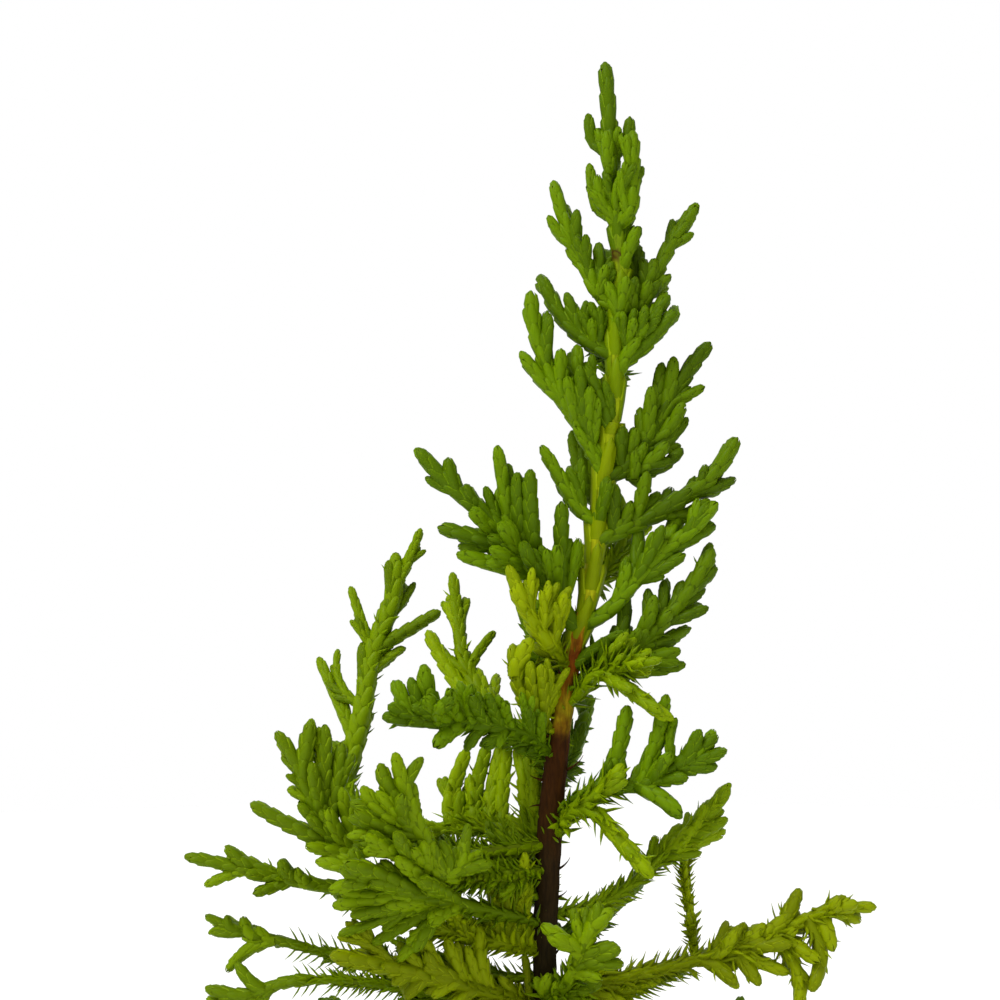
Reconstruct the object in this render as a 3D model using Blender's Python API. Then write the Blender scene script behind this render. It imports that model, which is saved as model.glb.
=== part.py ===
"""Young leyland cypress: an upright stem, rooted at a flat cut at ground level, and scale-leaved sprays all round.

All sizes are in millimetres and are turned to metres by MM where a mesh is made. X runs across, Y runs to the
back of the plant and Z runs up. The origin is the middle of the flat cut under the stem.
"""

import math
import random
from collections import namedtuple

import bmesh
import bpy
import numpy as np
from mathutils import Vector

MM = 0.001
UP = Vector((0, 0, 1))

# Sizes that hold for the whole plant
CLEARANCE = 0.32  # air between two pieces that only meet
SEAT = 0.3  # air between a spray's foot and the limb that carries it
SAMPLE = 0.4  # spacing of the places where two limbs are compared
SHORTEST_CORD = 1.2  # how far a cord stands out of its spray, where it has to give way to others
CORD_BEND = 0.12
CORD_SWING = 14  # degrees by which neighbours in a row tilt apart
CORD_STRAY = 6
CORD_THICKNESS = (0.75, 0.95)  # least and most, as shares of its spray's own stem
CORD_WAIST = 0.85  # how thick a cord starts, as a share of its middle
CORD_CORNERS = 6
LONG_CORD = 5.0  # from this length a cord is bent in three steps and not two
BLUNTNESS = 0.6
BLUNT_FROM = 0.6
SPRAY_STEPS = 5
BOUGH_STEPS = 6
BOUGH_TAPER = 0.35
BOUGH_CORNERS = 8
AWL_LENGTH = 2.2  # a sharp young leaf, on the inner part of a shoot
AWL_RADIUS = 0.3
AWL_POINT = 0.045
AWL_SPACING = 4.0
AWL_SPREAD = math.radians(55)
AWL_TURN = (0.2, 0.6)  # least and most turn of a pair round its limb, in radians
AWL_ROOT = 0.3  # how far from the limb's middle a leaf is rooted, as a share of the limb's radius
AWL_VARIATION = (0.85, 1.1)
AWL_ON_CORD = 0.7  # the share of a cord that has sharp leaves, on a spray that is mostly sharp-leaved
MOSTLY_AWL = 0.5
FLARE_HEIGHT = 5.0
FLARE_LOBES = 5
FLARE_DEPTH = 0.14
FLARE_RINGS = (0, 0.8, 1.6, 2.6, 3.8)
FLAT_WITHIN = 0.01

# What the plant shows from its front is measured at the stem, and this is where the eye stands for that
EYE_ACROSS = -4.4
EYE_HEIGHT = 76.2
EYE_DISTANCE = 250.0

# The stem: how far across its middle stands and how thick it is, at heights above the ground
STEM_LEAN = [(0, 0), (12, 0), (26, 0), (42, 0.5), (54, 1.7), (62, 3.1), (66, 4.4), (76, 5.6),
             (84, 6.8), (92, 7.2), (100, 7.6), (108, 6.8), (116, 6.4), (120, 6.1)]
STEM_RADIUS = [(0, 2.3), (1.5, 1.85), (5, 1.4), (26, 1.2), (42, 1.25), (54, 1.1), (62, 1.0), (84, 1.0),
               (100, 1.0), (110, 0.85), (117, 0.72), (119.2, 0.5), (120, 0.22)]
STEM_STEP = 4.0
STEM_TOP = 120.0
STEM_TIP_RINGS = (3, 1, 0.3, 0)  # counted down from the top
STEM_CORNERS = 10

# A bough starts on the stem, at a height. A spray stands on the stem, at a height, or on a bough's end. Its tip
# is given as across, back and up. Bow is how far the middle of its stem hangs out and down. Awl is the share of
# it that has sharp leaves.
Bough = namedtuple("Bough", "name foot tip bow radius")
Spray = namedtuple("Spray", "name foot tip bow radius awl combs")

# A comb is a row of cords on one side of a spray: how many, the shares of the spray's stem where the row starts
# and ends, the heading from straight up towards the right, the tilt towards the back, and the first and last
# lengths
Comb = namedtuple("Comb", "count first last heading tilt longest shortest")

BOUGHS = [
    Bough("bough_left", 41.6, (-11.6, -6.2, 40.6), 0.3, 0.9),
    Bough("bough_left_front", 39.2, (-9.2, -9.6, 38.6), 0.3, 0.8),
    Bough("bough_left_back", 39.4, (-19.2, 13.0, 45.6), 1.4, 0.9),
    Bough("bough_left_needled", 28.5, (-25.5, -3.0, 31.9), 0.9, 0.5),
    Bough("bough_left_lowest", 24.0, (-25.0, -6.0, 28.2), -1.2, 0.5),
    Bough("bough_right", 25.4, (14.6, 3.2, 29.9), 0.6, 0.75),
]

SPRAYS = [
    Spray("tip_left", 111.6, (4.4, 0.2, 114.9), 0.0, 0.6, 0, []),
    Spray("tip_right", 111.4, (8.6, 0.2, 114.6), 0.0, 0.65, 0, []),
    Spray("tip_front", 109.4, (6.3, -2.2, 113.2), 0.0, 0.65, 0, []),
    Spray("tip_back", 109.0, (7.2, 2.4, 113.4), 0.0, 0.65, 0, []),
    Spray("crown_right", 104.4, (8.9, -1.6, 113.2), 0.1, 0.85, 0, [
        Comb(1, 0.3, 0.3, -30, -25, 2.5, 2.5), Comb(1, 0.55, 0.55, 48, 20, 2.2, 2.2)]),
    Spray("crown_left", 105.0, (4.5, 0.6, 109.9), 0.0, 0.75, 0, [
        Comb(1, 0.35, 0.35, -24, 20, 2.0, 2.0)]),
    Spray("left_1", 96.4, (0.9, 1.0, 108.2), 0.3, 0.95, 0.1, [
        Comb(3, 0.16, 0.62, 22, -25, 5.5, 3.0), Comb(2, 0.5, 0.76, -60, 40, 2.2, 2.0)]),
    Spray("left_2", 91.4, (-0.3, 1.0, 98.6), 0.3, 0.95, 0.1, [
        Comb(4, 0.14, 0.7, 26, -20, 4.8, 2.6), Comb(1, 0.5, 0.5, -80, 20, 2.0, 2.0)]),
    Spray("left_3", 81.0, (-1.3, -0.8, 97.2), 1.8, 1.0, 0.1, [
        Comb(6, 0.14, 0.8, 26, -12, 7.5, 2.6), Comb(3, 0.46, 0.82, -38, 10, 4.4, 2.0)]),
    Spray("left_4_behind", 76.8, (2.8, 3.0, 83.2), 0.2, 0.9, 0.1, [
        Comb(2, 0.3, 0.6, 22, 25, 3.8, 2.8)]),
    Spray("left_4", 74.8, (-0.3, -1.4, 81.7), 0.0, 0.85, 0.15, [
        Comb(2, 0.22, 0.55, 30, -30, 4.0, 2.4)]),
    Spray("left_5", 64.4, (-12.7, -3.2, 81.4), 0.7, 1.1, 0.15, [
        Comb(4, 0.07, 0.46, -2, -8, 10.5, 8.5), Comb(2, 0.6, 0.82, -14, -20, 4.0, 3.2),
        Comb(4, 0.2, 0.86, -76, -10, 8.0, 2.2)]),
    Spray("left_6", 60.6, (-3.2, -5.2, 67.6), 0.2, 0.95, 0.6, [
        Comb(2, 0.36, 0.62, 24, -30, 4.5, 3.2), Comb(2, 0.35, 0.65, -70, -40, 2.8, 2.2)]),
    Spray("left_7", 53.6, (-3.1, -2.0, 61.9), 1.0, 0.85, 0.5, [
        Comb(3, 0.2, 0.92, 34, -18, 6.5, 3.6), Comb(1, 0.6, 0.6, -40, -10, 3.0, 3.0)]),
    Spray("left_8_behind", 52.0, (-9.2, 10.0, 69.0), 3.0, 0.85, 0.35, [
        Comb(3, 0.34, 0.84, 42, 15, 4.4, 2.4), Comb(3, 0.46, 0.84, -58, 20, 5.0, 2.4)]),
    Spray("left_9_behind", "bough_left_back", (-14.8, 17.0, 71.0), 1.0, 1.15, 0.2, [
        Comb(5, 0.16, 0.93, 34, -4, 6.5, 5.4), Comb(4, 0.22, 0.62, -30, 16, 10.5, 7.0)]),
    Spray("left_10", 51.4, (-16.2, -10.0, 54.6), 0.5, 1.05, 0.35, [
        Comb(6, 0.34, 0.84, 0, -4, 5.2, 5.2), Comb(2, 0.56, 0.76, -136, -50, 3.0, 2.4)]),
    Spray("left_11_behind", 42.4, (-10.6, 7.4, 48.4), 2.0, 0.85, 0.9, [
        Comb(3, 0.2, 0.62, 10, 13, 9.5, 8.0), Comb(1, 0.8, 0.8, -106, -15, 3.0, 3.0)]),
    Spray("low_left_rising", "bough_left", (-26.8, -9.0, 53.1), 2.6, 0.95, 0.1, [
        Comb(4, 0.36, 0.74, 9, -4, 6.5, 6.0), Comb(2, 0.28, 0.5, -66, -12, 12.5, 4.5),
        Comb(2, 0.68, 0.86, -82, 0, 2.0, 1.8)]),
    Spray("low_left_front_up", "bough_left_front", (-14.9, -15.0, 51.0), 0.8, 0.95, 0.1, [
        Comb(4, 0.22, 0.66, -54, -40, 8.5, 5.5), Comb(3, 0.3, 0.74, 22, -10, 4.5, 3.2)]),
    Spray("low_left_long", 37.2, (-36.0, -6.4, 40.6), 2.0, 0.9, 0.45, [
        Comb(4, 0.5, 0.86, -20, -14, 3.0, 2.6), Comb(4, 0.46, 0.84, -120, -30, 5.0, 3.8)]),
    Spray("low_left_front", 34.4, (-20.4, -16.0, 39.4), 0.5, 1.0, 0.4, [
        Comb(3, 0.38, 0.72, -16, -50, 8.0, 8.0), Comb(2, 0.58, 0.76, -84, -15, 5.0, 7.0)]),
    Spray("low_left_feathered", 31.6, (-12.0, -6.4, 33.7), 0.4, 0.85, 1.0, [
        Comb(4, 0.22, 0.76, 4, -30, 6.0, 5.0), Comb(2, 0.4, 0.7, -130, -40, 4.0, 3.4)]),
    Spray("low_left_fork", "bough_left_needled", (-33.9, -3.4, 34.7), 0.3, 0.6, 0, [
        Comb(2, 0.3, 0.6, -32, -18, 3.0, 2.2), Comb(1, 0.35, 0.35, -136, 10, 4.0, 4.0)]),
    Spray("lowest_left_fork", "bough_left_lowest", (-33.5, -6.4, 25.6), 0.2, 0.7, 0, [
        Comb(1, 0.35, 0.35, -42, -5, 3.5, 3.5), Comb(1, 0.55, 0.55, -158, -20, 4.0, 4.0)]),
    Spray("low_left_blunt", 26.2, (-21.4, -13.0, 30.7), -0.2, 0.85, 0.75, [
        Comb(2, 0.36, 0.6, 20, -45, 5.0, 4.5), Comb(2, 0.44, 0.66, -140, -50, 5.0, 4.0)]),
    Spray("right_1", 94.6, (15.4, 1.6, 105.9), 0.2, 0.9, 0.1, [
        Comb(3, 0.26, 0.8, -20, 12, 7.0, 2.6), Comb(3, 0.3, 0.78, 56, -20, 4.0, 2.2)]),
    Spray("right_1_lower", 90.6, (13.3, -1.6, 95.2), 0.0, 0.95, 0.1, [
        Comb(4, 0.16, 0.62, -8, -22, 7.0, 3.6)]),
    Spray("right_2", 79.2, (16.7, 1.6, 92.0), 0.5, 1.0, 0.1, [
        Comb(4, 0.2, 0.58, -16, 2, 6.0, 6.5), Comb(4, 0.22, 0.78, 56, -35, 4.0, 2.6)]),
    Spray("right_3", 73.0, (19.4, 0.0, 82.5), 1.0, 1.0, 0.1, [
        Comb(5, 0.1, 0.78, -20, -15, 7.0, 3.0), Comb(3, 0.42, 0.84, 82, -20, 3.6, 2.6)]),
    Spray("right_4", 64.6, (17.4, -2.0, 76.0), -0.3, 0.95, 0.15, [
        Comb(2, 0.34, 0.54, -16, -20, 6.0, 6.0), Comb(3, 0.3, 0.7, 62, -5, 4.5, 3.4)]),
    Spray("right_5", 58.2, (16.9, -1.0, 71.4), 2.2, 1.05, 0.2, [
        Comb(4, 0.24, 0.64, -20, -12, 7.0, 4.5), Comb(5, 0.2, 0.86, 78, -30, 7.5, 2.2)]),
    Spray("right_6", 56.4, (11.8, -8.0, 54.9), -1.4, 0.9, 0.5, []),
    Spray("right_7", 45.4, (17.4, -6.0, 52.7), 0.9, 0.9, 0.45, [
        Comb(2, 0.33, 0.6, 9, -2, 6.8, 7.8), Comb(1, 0.28, 0.28, -14, -45, 5.5, 5.5),
        Comb(3, 0.68, 0.82, 26, -10, 4.6, 3.2), Comb(2, 0.74, 0.86, 72, -15, 4.0, 3.2),
        Comb(1, 0.5, 0.5, 136, -35, 5.6, 5.6)]),
    Spray("right_8", 43.2, (10.9, -9.0, 38.4), -1.0, 1.0, 0.6, []),
    Spray("right_9_behind", 35.0, (18.7, 4.0, 47.9), 1.4, 0.7, 0.6, [
        Comb(3, 0.6, 0.78, 114, 22, 4.0, 4.0), Comb(1, 0.8, 0.8, 24, 60, 3.0, 3.0)]),
    Spray("right_thin", "bough_right", (13.9, 5.0, 40.7), 0.2, 0.45, 1.0, []),
    Spray("low_right", 27.6, (33.3, 1.0, 35.5), 0.9, 0.8, 0.55, [
        Comb(4, 0.44, 0.87, 14, -2, 4.6, 3.4), Comb(3, 0.42, 0.62, 110, -20, 4.0, 5.0),
        Comb(1, 0.76, 0.76, 158, -10, 8.0, 8.0), Comb(1, 0.9, 0.9, 100, -20, 2.4, 2.4)]),
    Spray("low_front_right", 26.4, (4.8, -9.0, 33.9), 0.8, 0.9, 0.5, [
        Comb(3, 0.36, 0.6, 44, -18, 4.0, 6.5), Comb(1, 0.66, 0.66, -52, -35, 5.5, 5.5)]),
]

# Sprays that the stem carries at the back, and the lowest tier: foot height, bearing in degrees from the right
# and counted towards the back, reach, rise
BACK_SPRAYS = [(88.5, 84, 9.0, 7.5), (79.5, 96, 10.0, 8.0), (68.0, 66, 11.0, 7.0), (58.5, 112, 13.0, 7.5),
               (48.6, 74, 15.0, 7.0), (36.2, 100, 17.0, 6.0), (32.0, 52, 20.0, 7.0)]
LOWEST_TIER = [(20.6, 12, 24.0, 3.5), (19.4, 64, 21.0, 4.5), (18.0, 118, 22.0, 4.0), (20.0, 164, 24.0, 5.0),
               (17.0, 209, 26.0, 6.5), (18.4, 254, 20.0, 3.0), (16.2, 312, 23.0, 4.5)]
GROWN_RADIUS = 0.85
GROWN_BOW = 0.09
GROWN_AWL = 0.4
GROWN_CORDS = 4
GROWN_FROM = 0.28  # the shares of a stem where its cords start and end
GROWN_TO = 0.9
GROWN_TURN = 0.75
GROWN_OPENING = (34, 48)
GROWN_LIFT = 0.35
GROWN_LENGTH = 0.46  # a cord's length as a share of its stem's, and how much of that it loses from foot to tip
GROWN_LOSS = 0.3
GROWN_VARIATION = (0.85, 1.15)
GROWN_THICKNESS = (0.8, 0.95)


def between(table, height):
    """A value read from a table of heights and values, on a smooth line through them."""
    heights = [row[0] for row in table]
    values = [row[1] for row in table]
    last = len(table) - 2
    i = min(max(sum(h <= height for h in heights) - 1, 0), last)
    step = heights[i + 1] - heights[i]
    share = (height - heights[i]) / step
    before = max(i - 1, 0)
    after = min(i + 2, last + 1)
    slope_in = (values[i + 1] - values[before]) / (heights[i + 1] - heights[before]) * step
    slope_out = (values[after] - values[i]) / (heights[after] - heights[i]) * step
    square = share * share
    cube = square * share
    from_first = (2 * cube - 3 * square + 1) * values[i] + (cube - 2 * square + share) * slope_in
    from_second = (3 * square - 2 * cube) * values[i + 1] + (cube - square) * slope_out
    return from_first + from_second


def stem_middle(height):
    """The middle of the stem at this height."""
    return Vector((between(STEM_LEAN, height), 0, height))


def place(across, back, up):
    """The place that shows across and up from the foot of the stem, when it stands that far behind it."""
    nearer = (EYE_DISTANCE + back) / EYE_DISTANCE
    seen_across = EYE_ACROSS + (across - EYE_ACROSS) * nearer
    seen_up = EYE_HEIGHT + (up - EYE_HEIGHT) * nearer
    return Vector((seen_across, back, seen_up))


def heading_to(heading, tilt):
    """A direction, from its degrees off straight up towards the right and its degrees towards the back."""
    turn = math.radians(heading)
    lean = math.radians(tilt)
    return Vector((math.sin(turn) * math.cos(lean), math.sin(lean), math.cos(turn) * math.cos(lean)))


def bend(start, middle, end, steps):
    """Points on one smooth bend from start to end, drawn towards middle."""
    shares = [i / steps for i in range(steps + 1)]
    return [start * (1 - t) ** 2 + middle * 2 * t * (1 - t) + end * t ** 2 for t in shares]


def bough_path(start, end, bow, steps):
    """A bend whose middle hangs out from the stem and down by bow."""
    run = end - start
    push = Vector((run.x, run.y, 0)).normalized() - UP
    push -= run * (push.dot(run) / run.length_squared)
    return bend(start, (start + end) / 2 + push.normalized() * 2 * bow, end, steps)


def cord_path(root, direction, tip):
    """A cord leaves along its spray and bends away from it."""
    run = tip - root
    lean = direction - run * (direction.dot(run) / run.length_squared)
    steps = 3 if run.length > LONG_CORD else 2
    return bend(root, (root + tip) / 2 + lean * run.length * CORD_BEND, tip, steps)


def along(path, share):
    """The point at this share of a path, and the path's direction there."""
    reached = min(share, 0.999) * (len(path) - 1)
    i = int(reached)
    return path[i].lerp(path[i + 1], reached - i), (path[i + 1] - path[i]).normalized()


def taper(radius, steps, root=1.0):
    """A cord's radii from its root to its blunt end."""
    shares = [i / steps for i in range(steps + 1)]
    swollen = [root + (1 - root) * min(1, t * 2) for t in shares]
    blunted = [max(0, (t - BLUNT_FROM) / (1 - BLUNT_FROM)) ** 2 for t in shares]
    return [radius * s * (1 - BLUNTNESS * b) for s, b in zip(swollen, blunted)]


def seat_on_stem(height, end, radius, bow):
    """Where a limb of this radius starts, its cut face just clear of the stem, on its way to end."""
    middle = stem_middle(height)
    path = bough_path(middle, end, bow, SPRAY_STEPS)
    outward = Vector((end.x - middle.x, end.y, 0)).normalized()
    rise = (path[1] - path[0]).normalized().z
    reach = 0
    for edge in (-1, 1):
        beside = height + edge * radius * math.sqrt(1 - rise ** 2)
        lean = (stem_middle(beside) - middle).dot(outward)
        reach = max(reach, lean + between(STEM_RADIUS, beside) + edge * radius * rise)
    return middle + outward * (reach + SEAT)


def seat_on_bough(path, end, radius):
    """Where a spray of this radius starts, just clear of its bough's end."""
    direction = (path[-1] - path[-2]).normalized()
    run = (end - path[-1]).normalized()
    return path[-1] + direction * (SEAT + radius * direction.cross(run).length)


class Crown:
    """The limbs placed so far, as balls along their middles, so that a new one can keep clear of the others."""

    def __init__(self):
        self.middles = np.zeros((0, 3))
        self.radii = np.zeros(0)
        self.owners = np.zeros(0, int)
        self.names = []

    def number(self, owner):
        if owner not in self.names:
            self.names.append(owner)
        return self.names.index(owner)

    def balls(self, path, radii):
        """Balls along a limb: their middles, radii and shares of its length."""
        count = len(path) - 1
        longest = max((b - a).length for a, b in zip(path, path[1:]))
        shares = np.linspace(0, count, count * max(1, math.ceil(longest / SAMPLE)) + 1)
        places = np.arange(count + 1)
        middles = [np.interp(shares, places, [p[axis] for p in path]) for axis in range(3)]
        return np.stack(middles, axis=1), np.interp(shares, places, radii), shares / count

    def free_share(self, owner, path, radii):
        """The share of this limb, from its start, that keeps clear of every other piece."""
        middles, sizes, shares = self.balls(path, radii)
        others = self.owners != self.number(owner)
        gaps = np.linalg.norm(middles[:, None] - self.middles[others][None], axis=2)
        gaps -= sizes[:, None] + self.radii[others][None]
        crowded = np.flatnonzero((gaps < CLEARANCE).any(axis=1))
        return shares[max(crowded[0] - 1, 0)] if len(crowded) else 1.0

    def add(self, owner, path, radii):
        middles, sizes, _ = self.balls(path, radii)
        self.middles = np.vstack([self.middles, middles])
        self.radii = np.append(self.radii, sizes)
        self.owners = np.append(self.owners, np.full(len(sizes), self.number(owner)))


def combed_cords(name, path, radius, combs):
    """The roots, directions, tips and radii of a spray's cords, row by row, with small seeded differences."""
    dice = random.Random(name)
    cords = []
    for comb in combs:
        for i in range(comb.count):
            step = i / max(comb.count - 1, 1)
            root, direction = along(path, comb.first + (comb.last - comb.first) * step)
            swing = 0 if comb.count == 1 else CORD_SWING * (1 if i % 2 else -1)
            heading = heading_to(comb.heading + dice.uniform(-CORD_STRAY, CORD_STRAY), comb.tilt + swing)
            length = comb.longest + (comb.shortest - comb.longest) * step
            cords.append((root, direction, root + heading * length, radius * dice.uniform(*CORD_THICKNESS)))
    return cords


def grown_cords(name, path, radius):
    """Cords by rule for a spray that is mostly hidden: they turn round its stem and grow shorter to its tip."""
    dice = random.Random(name)
    run = path[-1] - path[0]
    side = run.cross(UP).normalized()
    over = side.cross(run).normalized()
    cords = []
    for i in range(GROWN_CORDS):
        share = GROWN_FROM + (GROWN_TO - GROWN_FROM) * i / GROWN_CORDS
        root, direction = along(path, share)
        turn = math.pi * (i % 2) + dice.uniform(-GROWN_TURN, GROWN_TURN)
        opening = math.radians(dice.uniform(*GROWN_OPENING))
        out = side * math.cos(turn) + over * (GROWN_LIFT + math.sin(turn))
        heading = direction * math.cos(opening) + out.normalized() * math.sin(opening)
        length = run.length * (GROWN_LENGTH - GROWN_LOSS * share) * dice.uniform(*GROWN_VARIATION)
        cords.append((root, direction, root + heading * length, radius * dice.uniform(*GROWN_THICKNESS)))
    return cords


def awl_leaves(path, radius, share, dice):
    """Sharp leaves in crossed pairs on the inner share of a limb, as roots and tips."""
    leaves = []
    length = sum((b - a).length for a, b in zip(path, path[1:])) * share
    pairs = int(length / AWL_SPACING)
    for i in range(pairs):
        middle, direction = along(path, share * (i + 1) / (pairs + 1))
        side = direction.cross(UP).normalized()
        over = side.cross(direction)
        turn = math.pi / 2 * (i % 2) + dice.uniform(*AWL_TURN)
        for half in (0, math.pi):
            out = side * math.cos(turn + half) + over * math.sin(turn + half)
            lean = direction * math.cos(AWL_SPREAD) + out * math.sin(AWL_SPREAD)
            root = middle + out * radius * AWL_ROOT
            length = (AWL_LENGTH + radius * (1 - AWL_ROOT)) * dice.uniform(*AWL_VARIATION)
            leaves.append((root, root + lean * length))
    return leaves


def material(name, colour, roughness):
    """A plain finish for the solids."""
    made = bpy.data.materials.new(name)
    made.use_nodes = True
    shader = made.node_tree.nodes["Principled BSDF"]
    shader.inputs["Base Color"].default_value = (*colour, 1)
    shader.inputs["Roughness"].default_value = roughness
    shader.inputs["Metallic"].default_value = 0
    return made


def tube(name, path, radii, corners):
    """A limb: a curve with its own radius at each point, closed at both ends, turned into a mesh."""
    curve = bpy.data.curves.new(name, "CURVE")
    curve.dimensions = "3D"
    curve.bevel_depth = MM
    curve.bevel_resolution = (corners - 4) // 2
    curve.use_fill_caps = True
    line = curve.splines.new("POLY")
    line.points.add(len(path) - 1)
    for point, middle, radius in zip(line.points, path, radii):
        point.co = (*(middle * MM), 1)
        point.radius = radius
    limb = bpy.data.objects.new(name, curve)
    bpy.context.scene.collection.objects.link(limb)
    graph = bpy.context.evaluated_depsgraph_get()
    mesh = bpy.data.meshes.new_from_object(limb.evaluated_get(graph))
    bpy.data.objects.remove(limb)
    bpy.data.curves.remove(curve)
    form = bmesh.new()
    form.from_mesh(mesh)
    bmesh.ops.remove_doubles(form, verts=form.verts, dist=1e-6)
    bmesh.ops.recalc_face_normals(form, faces=form.faces)
    form.to_mesh(mesh)
    form.free()
    return mesh


def awl(name, root, tip):
    """One sharp leaf: a slim cone of three sides with its root sunk in the limb."""
    form = bmesh.new()
    run = (tip - root) * MM
    turned = run.to_track_quat("Z", "Y").to_matrix().to_4x4()
    turned.translation = root * MM + run / 2
    wide = AWL_RADIUS * MM
    narrow = AWL_POINT * MM
    bmesh.ops.create_cone(form, cap_ends=True, segments=3, radius1=wide, radius2=narrow, depth=run.length,
                          matrix=turned)
    mesh = bpy.data.meshes.new(name)
    form.to_mesh(mesh)
    form.free()
    return mesh


def joined(name, meshes, finish, collection):
    """One solid from a limb and what grows on it, by one union."""
    body = bpy.data.objects.new(name, meshes[0])
    collection.objects.link(body)
    if len(meshes) > 1:
        grown = bpy.data.collections.new(name + "_grown")
        bpy.context.scene.collection.children.link(grown)
        for mesh in meshes[1:]:
            grown.objects.link(bpy.data.objects.new(mesh.name, mesh))
        union = body.modifiers.new("grown together", "BOOLEAN")
        union.operation = "UNION"
        union.operand_type = "COLLECTION"
        union.collection = grown
        union.solver = "EXACT"
        graph = bpy.context.evaluated_depsgraph_get()
        body.data = bpy.data.meshes.new_from_object(body.evaluated_get(graph))
        body.modifiers.clear()
        for piece in list(grown.objects):
            bpy.data.objects.remove(piece)
        bpy.data.collections.remove(grown)
    body.data.materials.clear()
    body.data.materials.append(finish)
    for face in body.data.polygons:
        face.use_smooth = True
    return body


def make_stem(crown, finish, collection):
    """The stem, whole from the flat cut at the ground to the plant's tip, with a lobed flare at its foot."""
    count = int((STEM_TOP - FLARE_HEIGHT) / STEM_STEP)
    heights = [*FLARE_RINGS, *(FLARE_HEIGHT + STEM_STEP * i for i in range(count))]
    heights += [STEM_TOP - down for down in STEM_TIP_RINGS]
    path = [stem_middle(h) for h in heights]
    radii = [between(STEM_RADIUS, h) for h in heights]
    mesh = tube("stem", path, radii, STEM_CORNERS)
    for vertex in mesh.vertices:
        share = min(vertex.co.z / MM / FLARE_HEIGHT, 1)
        turn = math.atan2(vertex.co.y, vertex.co.x)
        lobe = 1 + FLARE_DEPTH * math.cos(FLARE_LOBES * turn) * (1 - share) ** 2
        vertex.co.x *= lobe
        vertex.co.y *= lobe
        if vertex.co.z < FLAT_WITHIN * MM:
            vertex.co.z = 0
    crown.add("stem", path, radii)
    joined("stem", [mesh], finish, collection)


def make_bough(crown, bough, finish, collection):
    """One tapering limb, from just clear of the stem to the spray that it carries."""
    tip = place(*bough.tip)
    start = seat_on_stem(bough.foot, tip, bough.radius, bough.bow)
    path = bough_path(start, tip, bough.bow, BOUGH_STEPS)
    radii = [bough.radius * (1 - BOUGH_TAPER * i / BOUGH_STEPS) for i in range(BOUGH_STEPS + 1)]
    crown.add(bough.name, path, radii)
    joined(bough.name, [tube(bough.name, path, radii, BOUGH_CORNERS)], finish, collection)
    return path


def lay_out(crown, boughs):
    """Every spray's own stem and its cords still to come. The stems are placed first, so cords give way to them."""
    laid = []
    for spray in SPRAYS:
        tip = place(*spray.tip)
        if spray.foot in boughs:
            start = seat_on_bough(boughs[spray.foot], tip, spray.radius)
        else:
            start = seat_on_stem(spray.foot, tip, spray.radius, spray.bow)
        path = bough_path(start, tip, spray.bow, SPRAY_STEPS)
        cords = combed_cords(spray.name, path, spray.radius, spray.combs)
        laid.append((spray.name, path, spray.radius, spray.awl, cords))
    for group, rows in (("back", BACK_SPRAYS), ("lowest", LOWEST_TIER)):
        for i, (foot, bearing, reach, rise) in enumerate(rows):
            name = f"{group}_{i + 1}"
            turn = math.radians(bearing)
            tip = stem_middle(foot) + Vector((math.cos(turn) * reach, math.sin(turn) * reach, rise))
            start = seat_on_stem(foot, tip, GROWN_RADIUS, reach * GROWN_BOW)
            path = bough_path(start, tip, reach * GROWN_BOW, SPRAY_STEPS)
            laid.append((name, path, GROWN_RADIUS, GROWN_AWL, grown_cords(name, path, GROWN_RADIUS)))
    for name, path, radius, _, _ in laid:
        crown.add(name, path, taper(radius, SPRAY_STEPS))
    return laid


def make_spray(crown, name, path, radius, awl_share, cords, finish, collection):
    """One mass: the spray's stem, its cords and its sharp leaves, as one solid in its own space."""
    dice = random.Random(name)
    meshes = [tube(name, path, taper(radius, SPRAY_STEPS), CORD_CORNERS)]
    leaves = awl_leaves(path, radius, awl_share, dice)
    for i, (root, direction, tip, cord_radius) in enumerate(cords):
        shape = cord_path(root, direction, tip)
        radii = taper(cord_radius, len(shape) - 1, CORD_WAIST)
        free = crown.free_share(name, shape, radii)
        if free < 1:
            end, _ = along(shape, free)
            if (end - root).length < SHORTEST_CORD + radius:
                continue
            shape = cord_path(root, direction, end)
            radii = taper(cord_radius, len(shape) - 1, CORD_WAIST)
            if crown.free_share(name, shape, radii) < 1:
                continue
        crown.add(name, shape, radii)
        meshes.append(tube(f"{name}_cord_{i}", shape, radii, CORD_CORNERS))
        if awl_share > MOSTLY_AWL:
            leaves += awl_leaves(shape, cord_radius, AWL_ON_CORD, dice)
    for i, (root, tip) in enumerate(leaves):
        if crown.free_share(name, [root, tip], [AWL_RADIUS, AWL_POINT]) == 1:
            meshes.append(awl(f"{name}_awl_{i}", root, tip))
    joined(name, meshes, finish, collection)


def main():
    for old in list(bpy.data.objects):
        bpy.data.objects.remove(old)
    collection = bpy.data.collections.new("leyland cypress")
    bpy.context.scene.collection.children.link(collection)
    bark = material("bark", (0.075, 0.035, 0.015), 0.8)
    green_wood = material("green wood", (0.2, 0.2, 0.02), 0.6)
    needled = material("sharp leaves", (0.16, 0.26, 0.015), 0.5)
    scaly = material("scale leaves", (0.07, 0.22, 0.01), 0.5)

    crown = Crown()
    make_stem(crown, bark, collection)
    boughs = {bough.name: make_bough(crown, bough, green_wood, collection) for bough in BOUGHS}
    for name, path, radius, awl_share, cords in lay_out(crown, boughs):
        finish = needled if awl_share > MOSTLY_AWL else scaly
        make_spray(crown, name, path, radius, awl_share, cords, finish, collection)


main()
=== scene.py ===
"""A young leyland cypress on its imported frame: bark, boughs, twigs, scale leaves and sharp leaves.

Sizes are in millimetres along the frame's own axes, and MM turns them to metres where a mesh is made. X
runs across, Y to the back of the plant and Z up, from the middle of the flat cut under the stem.
"""

import math
import random
from collections import namedtuple

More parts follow.
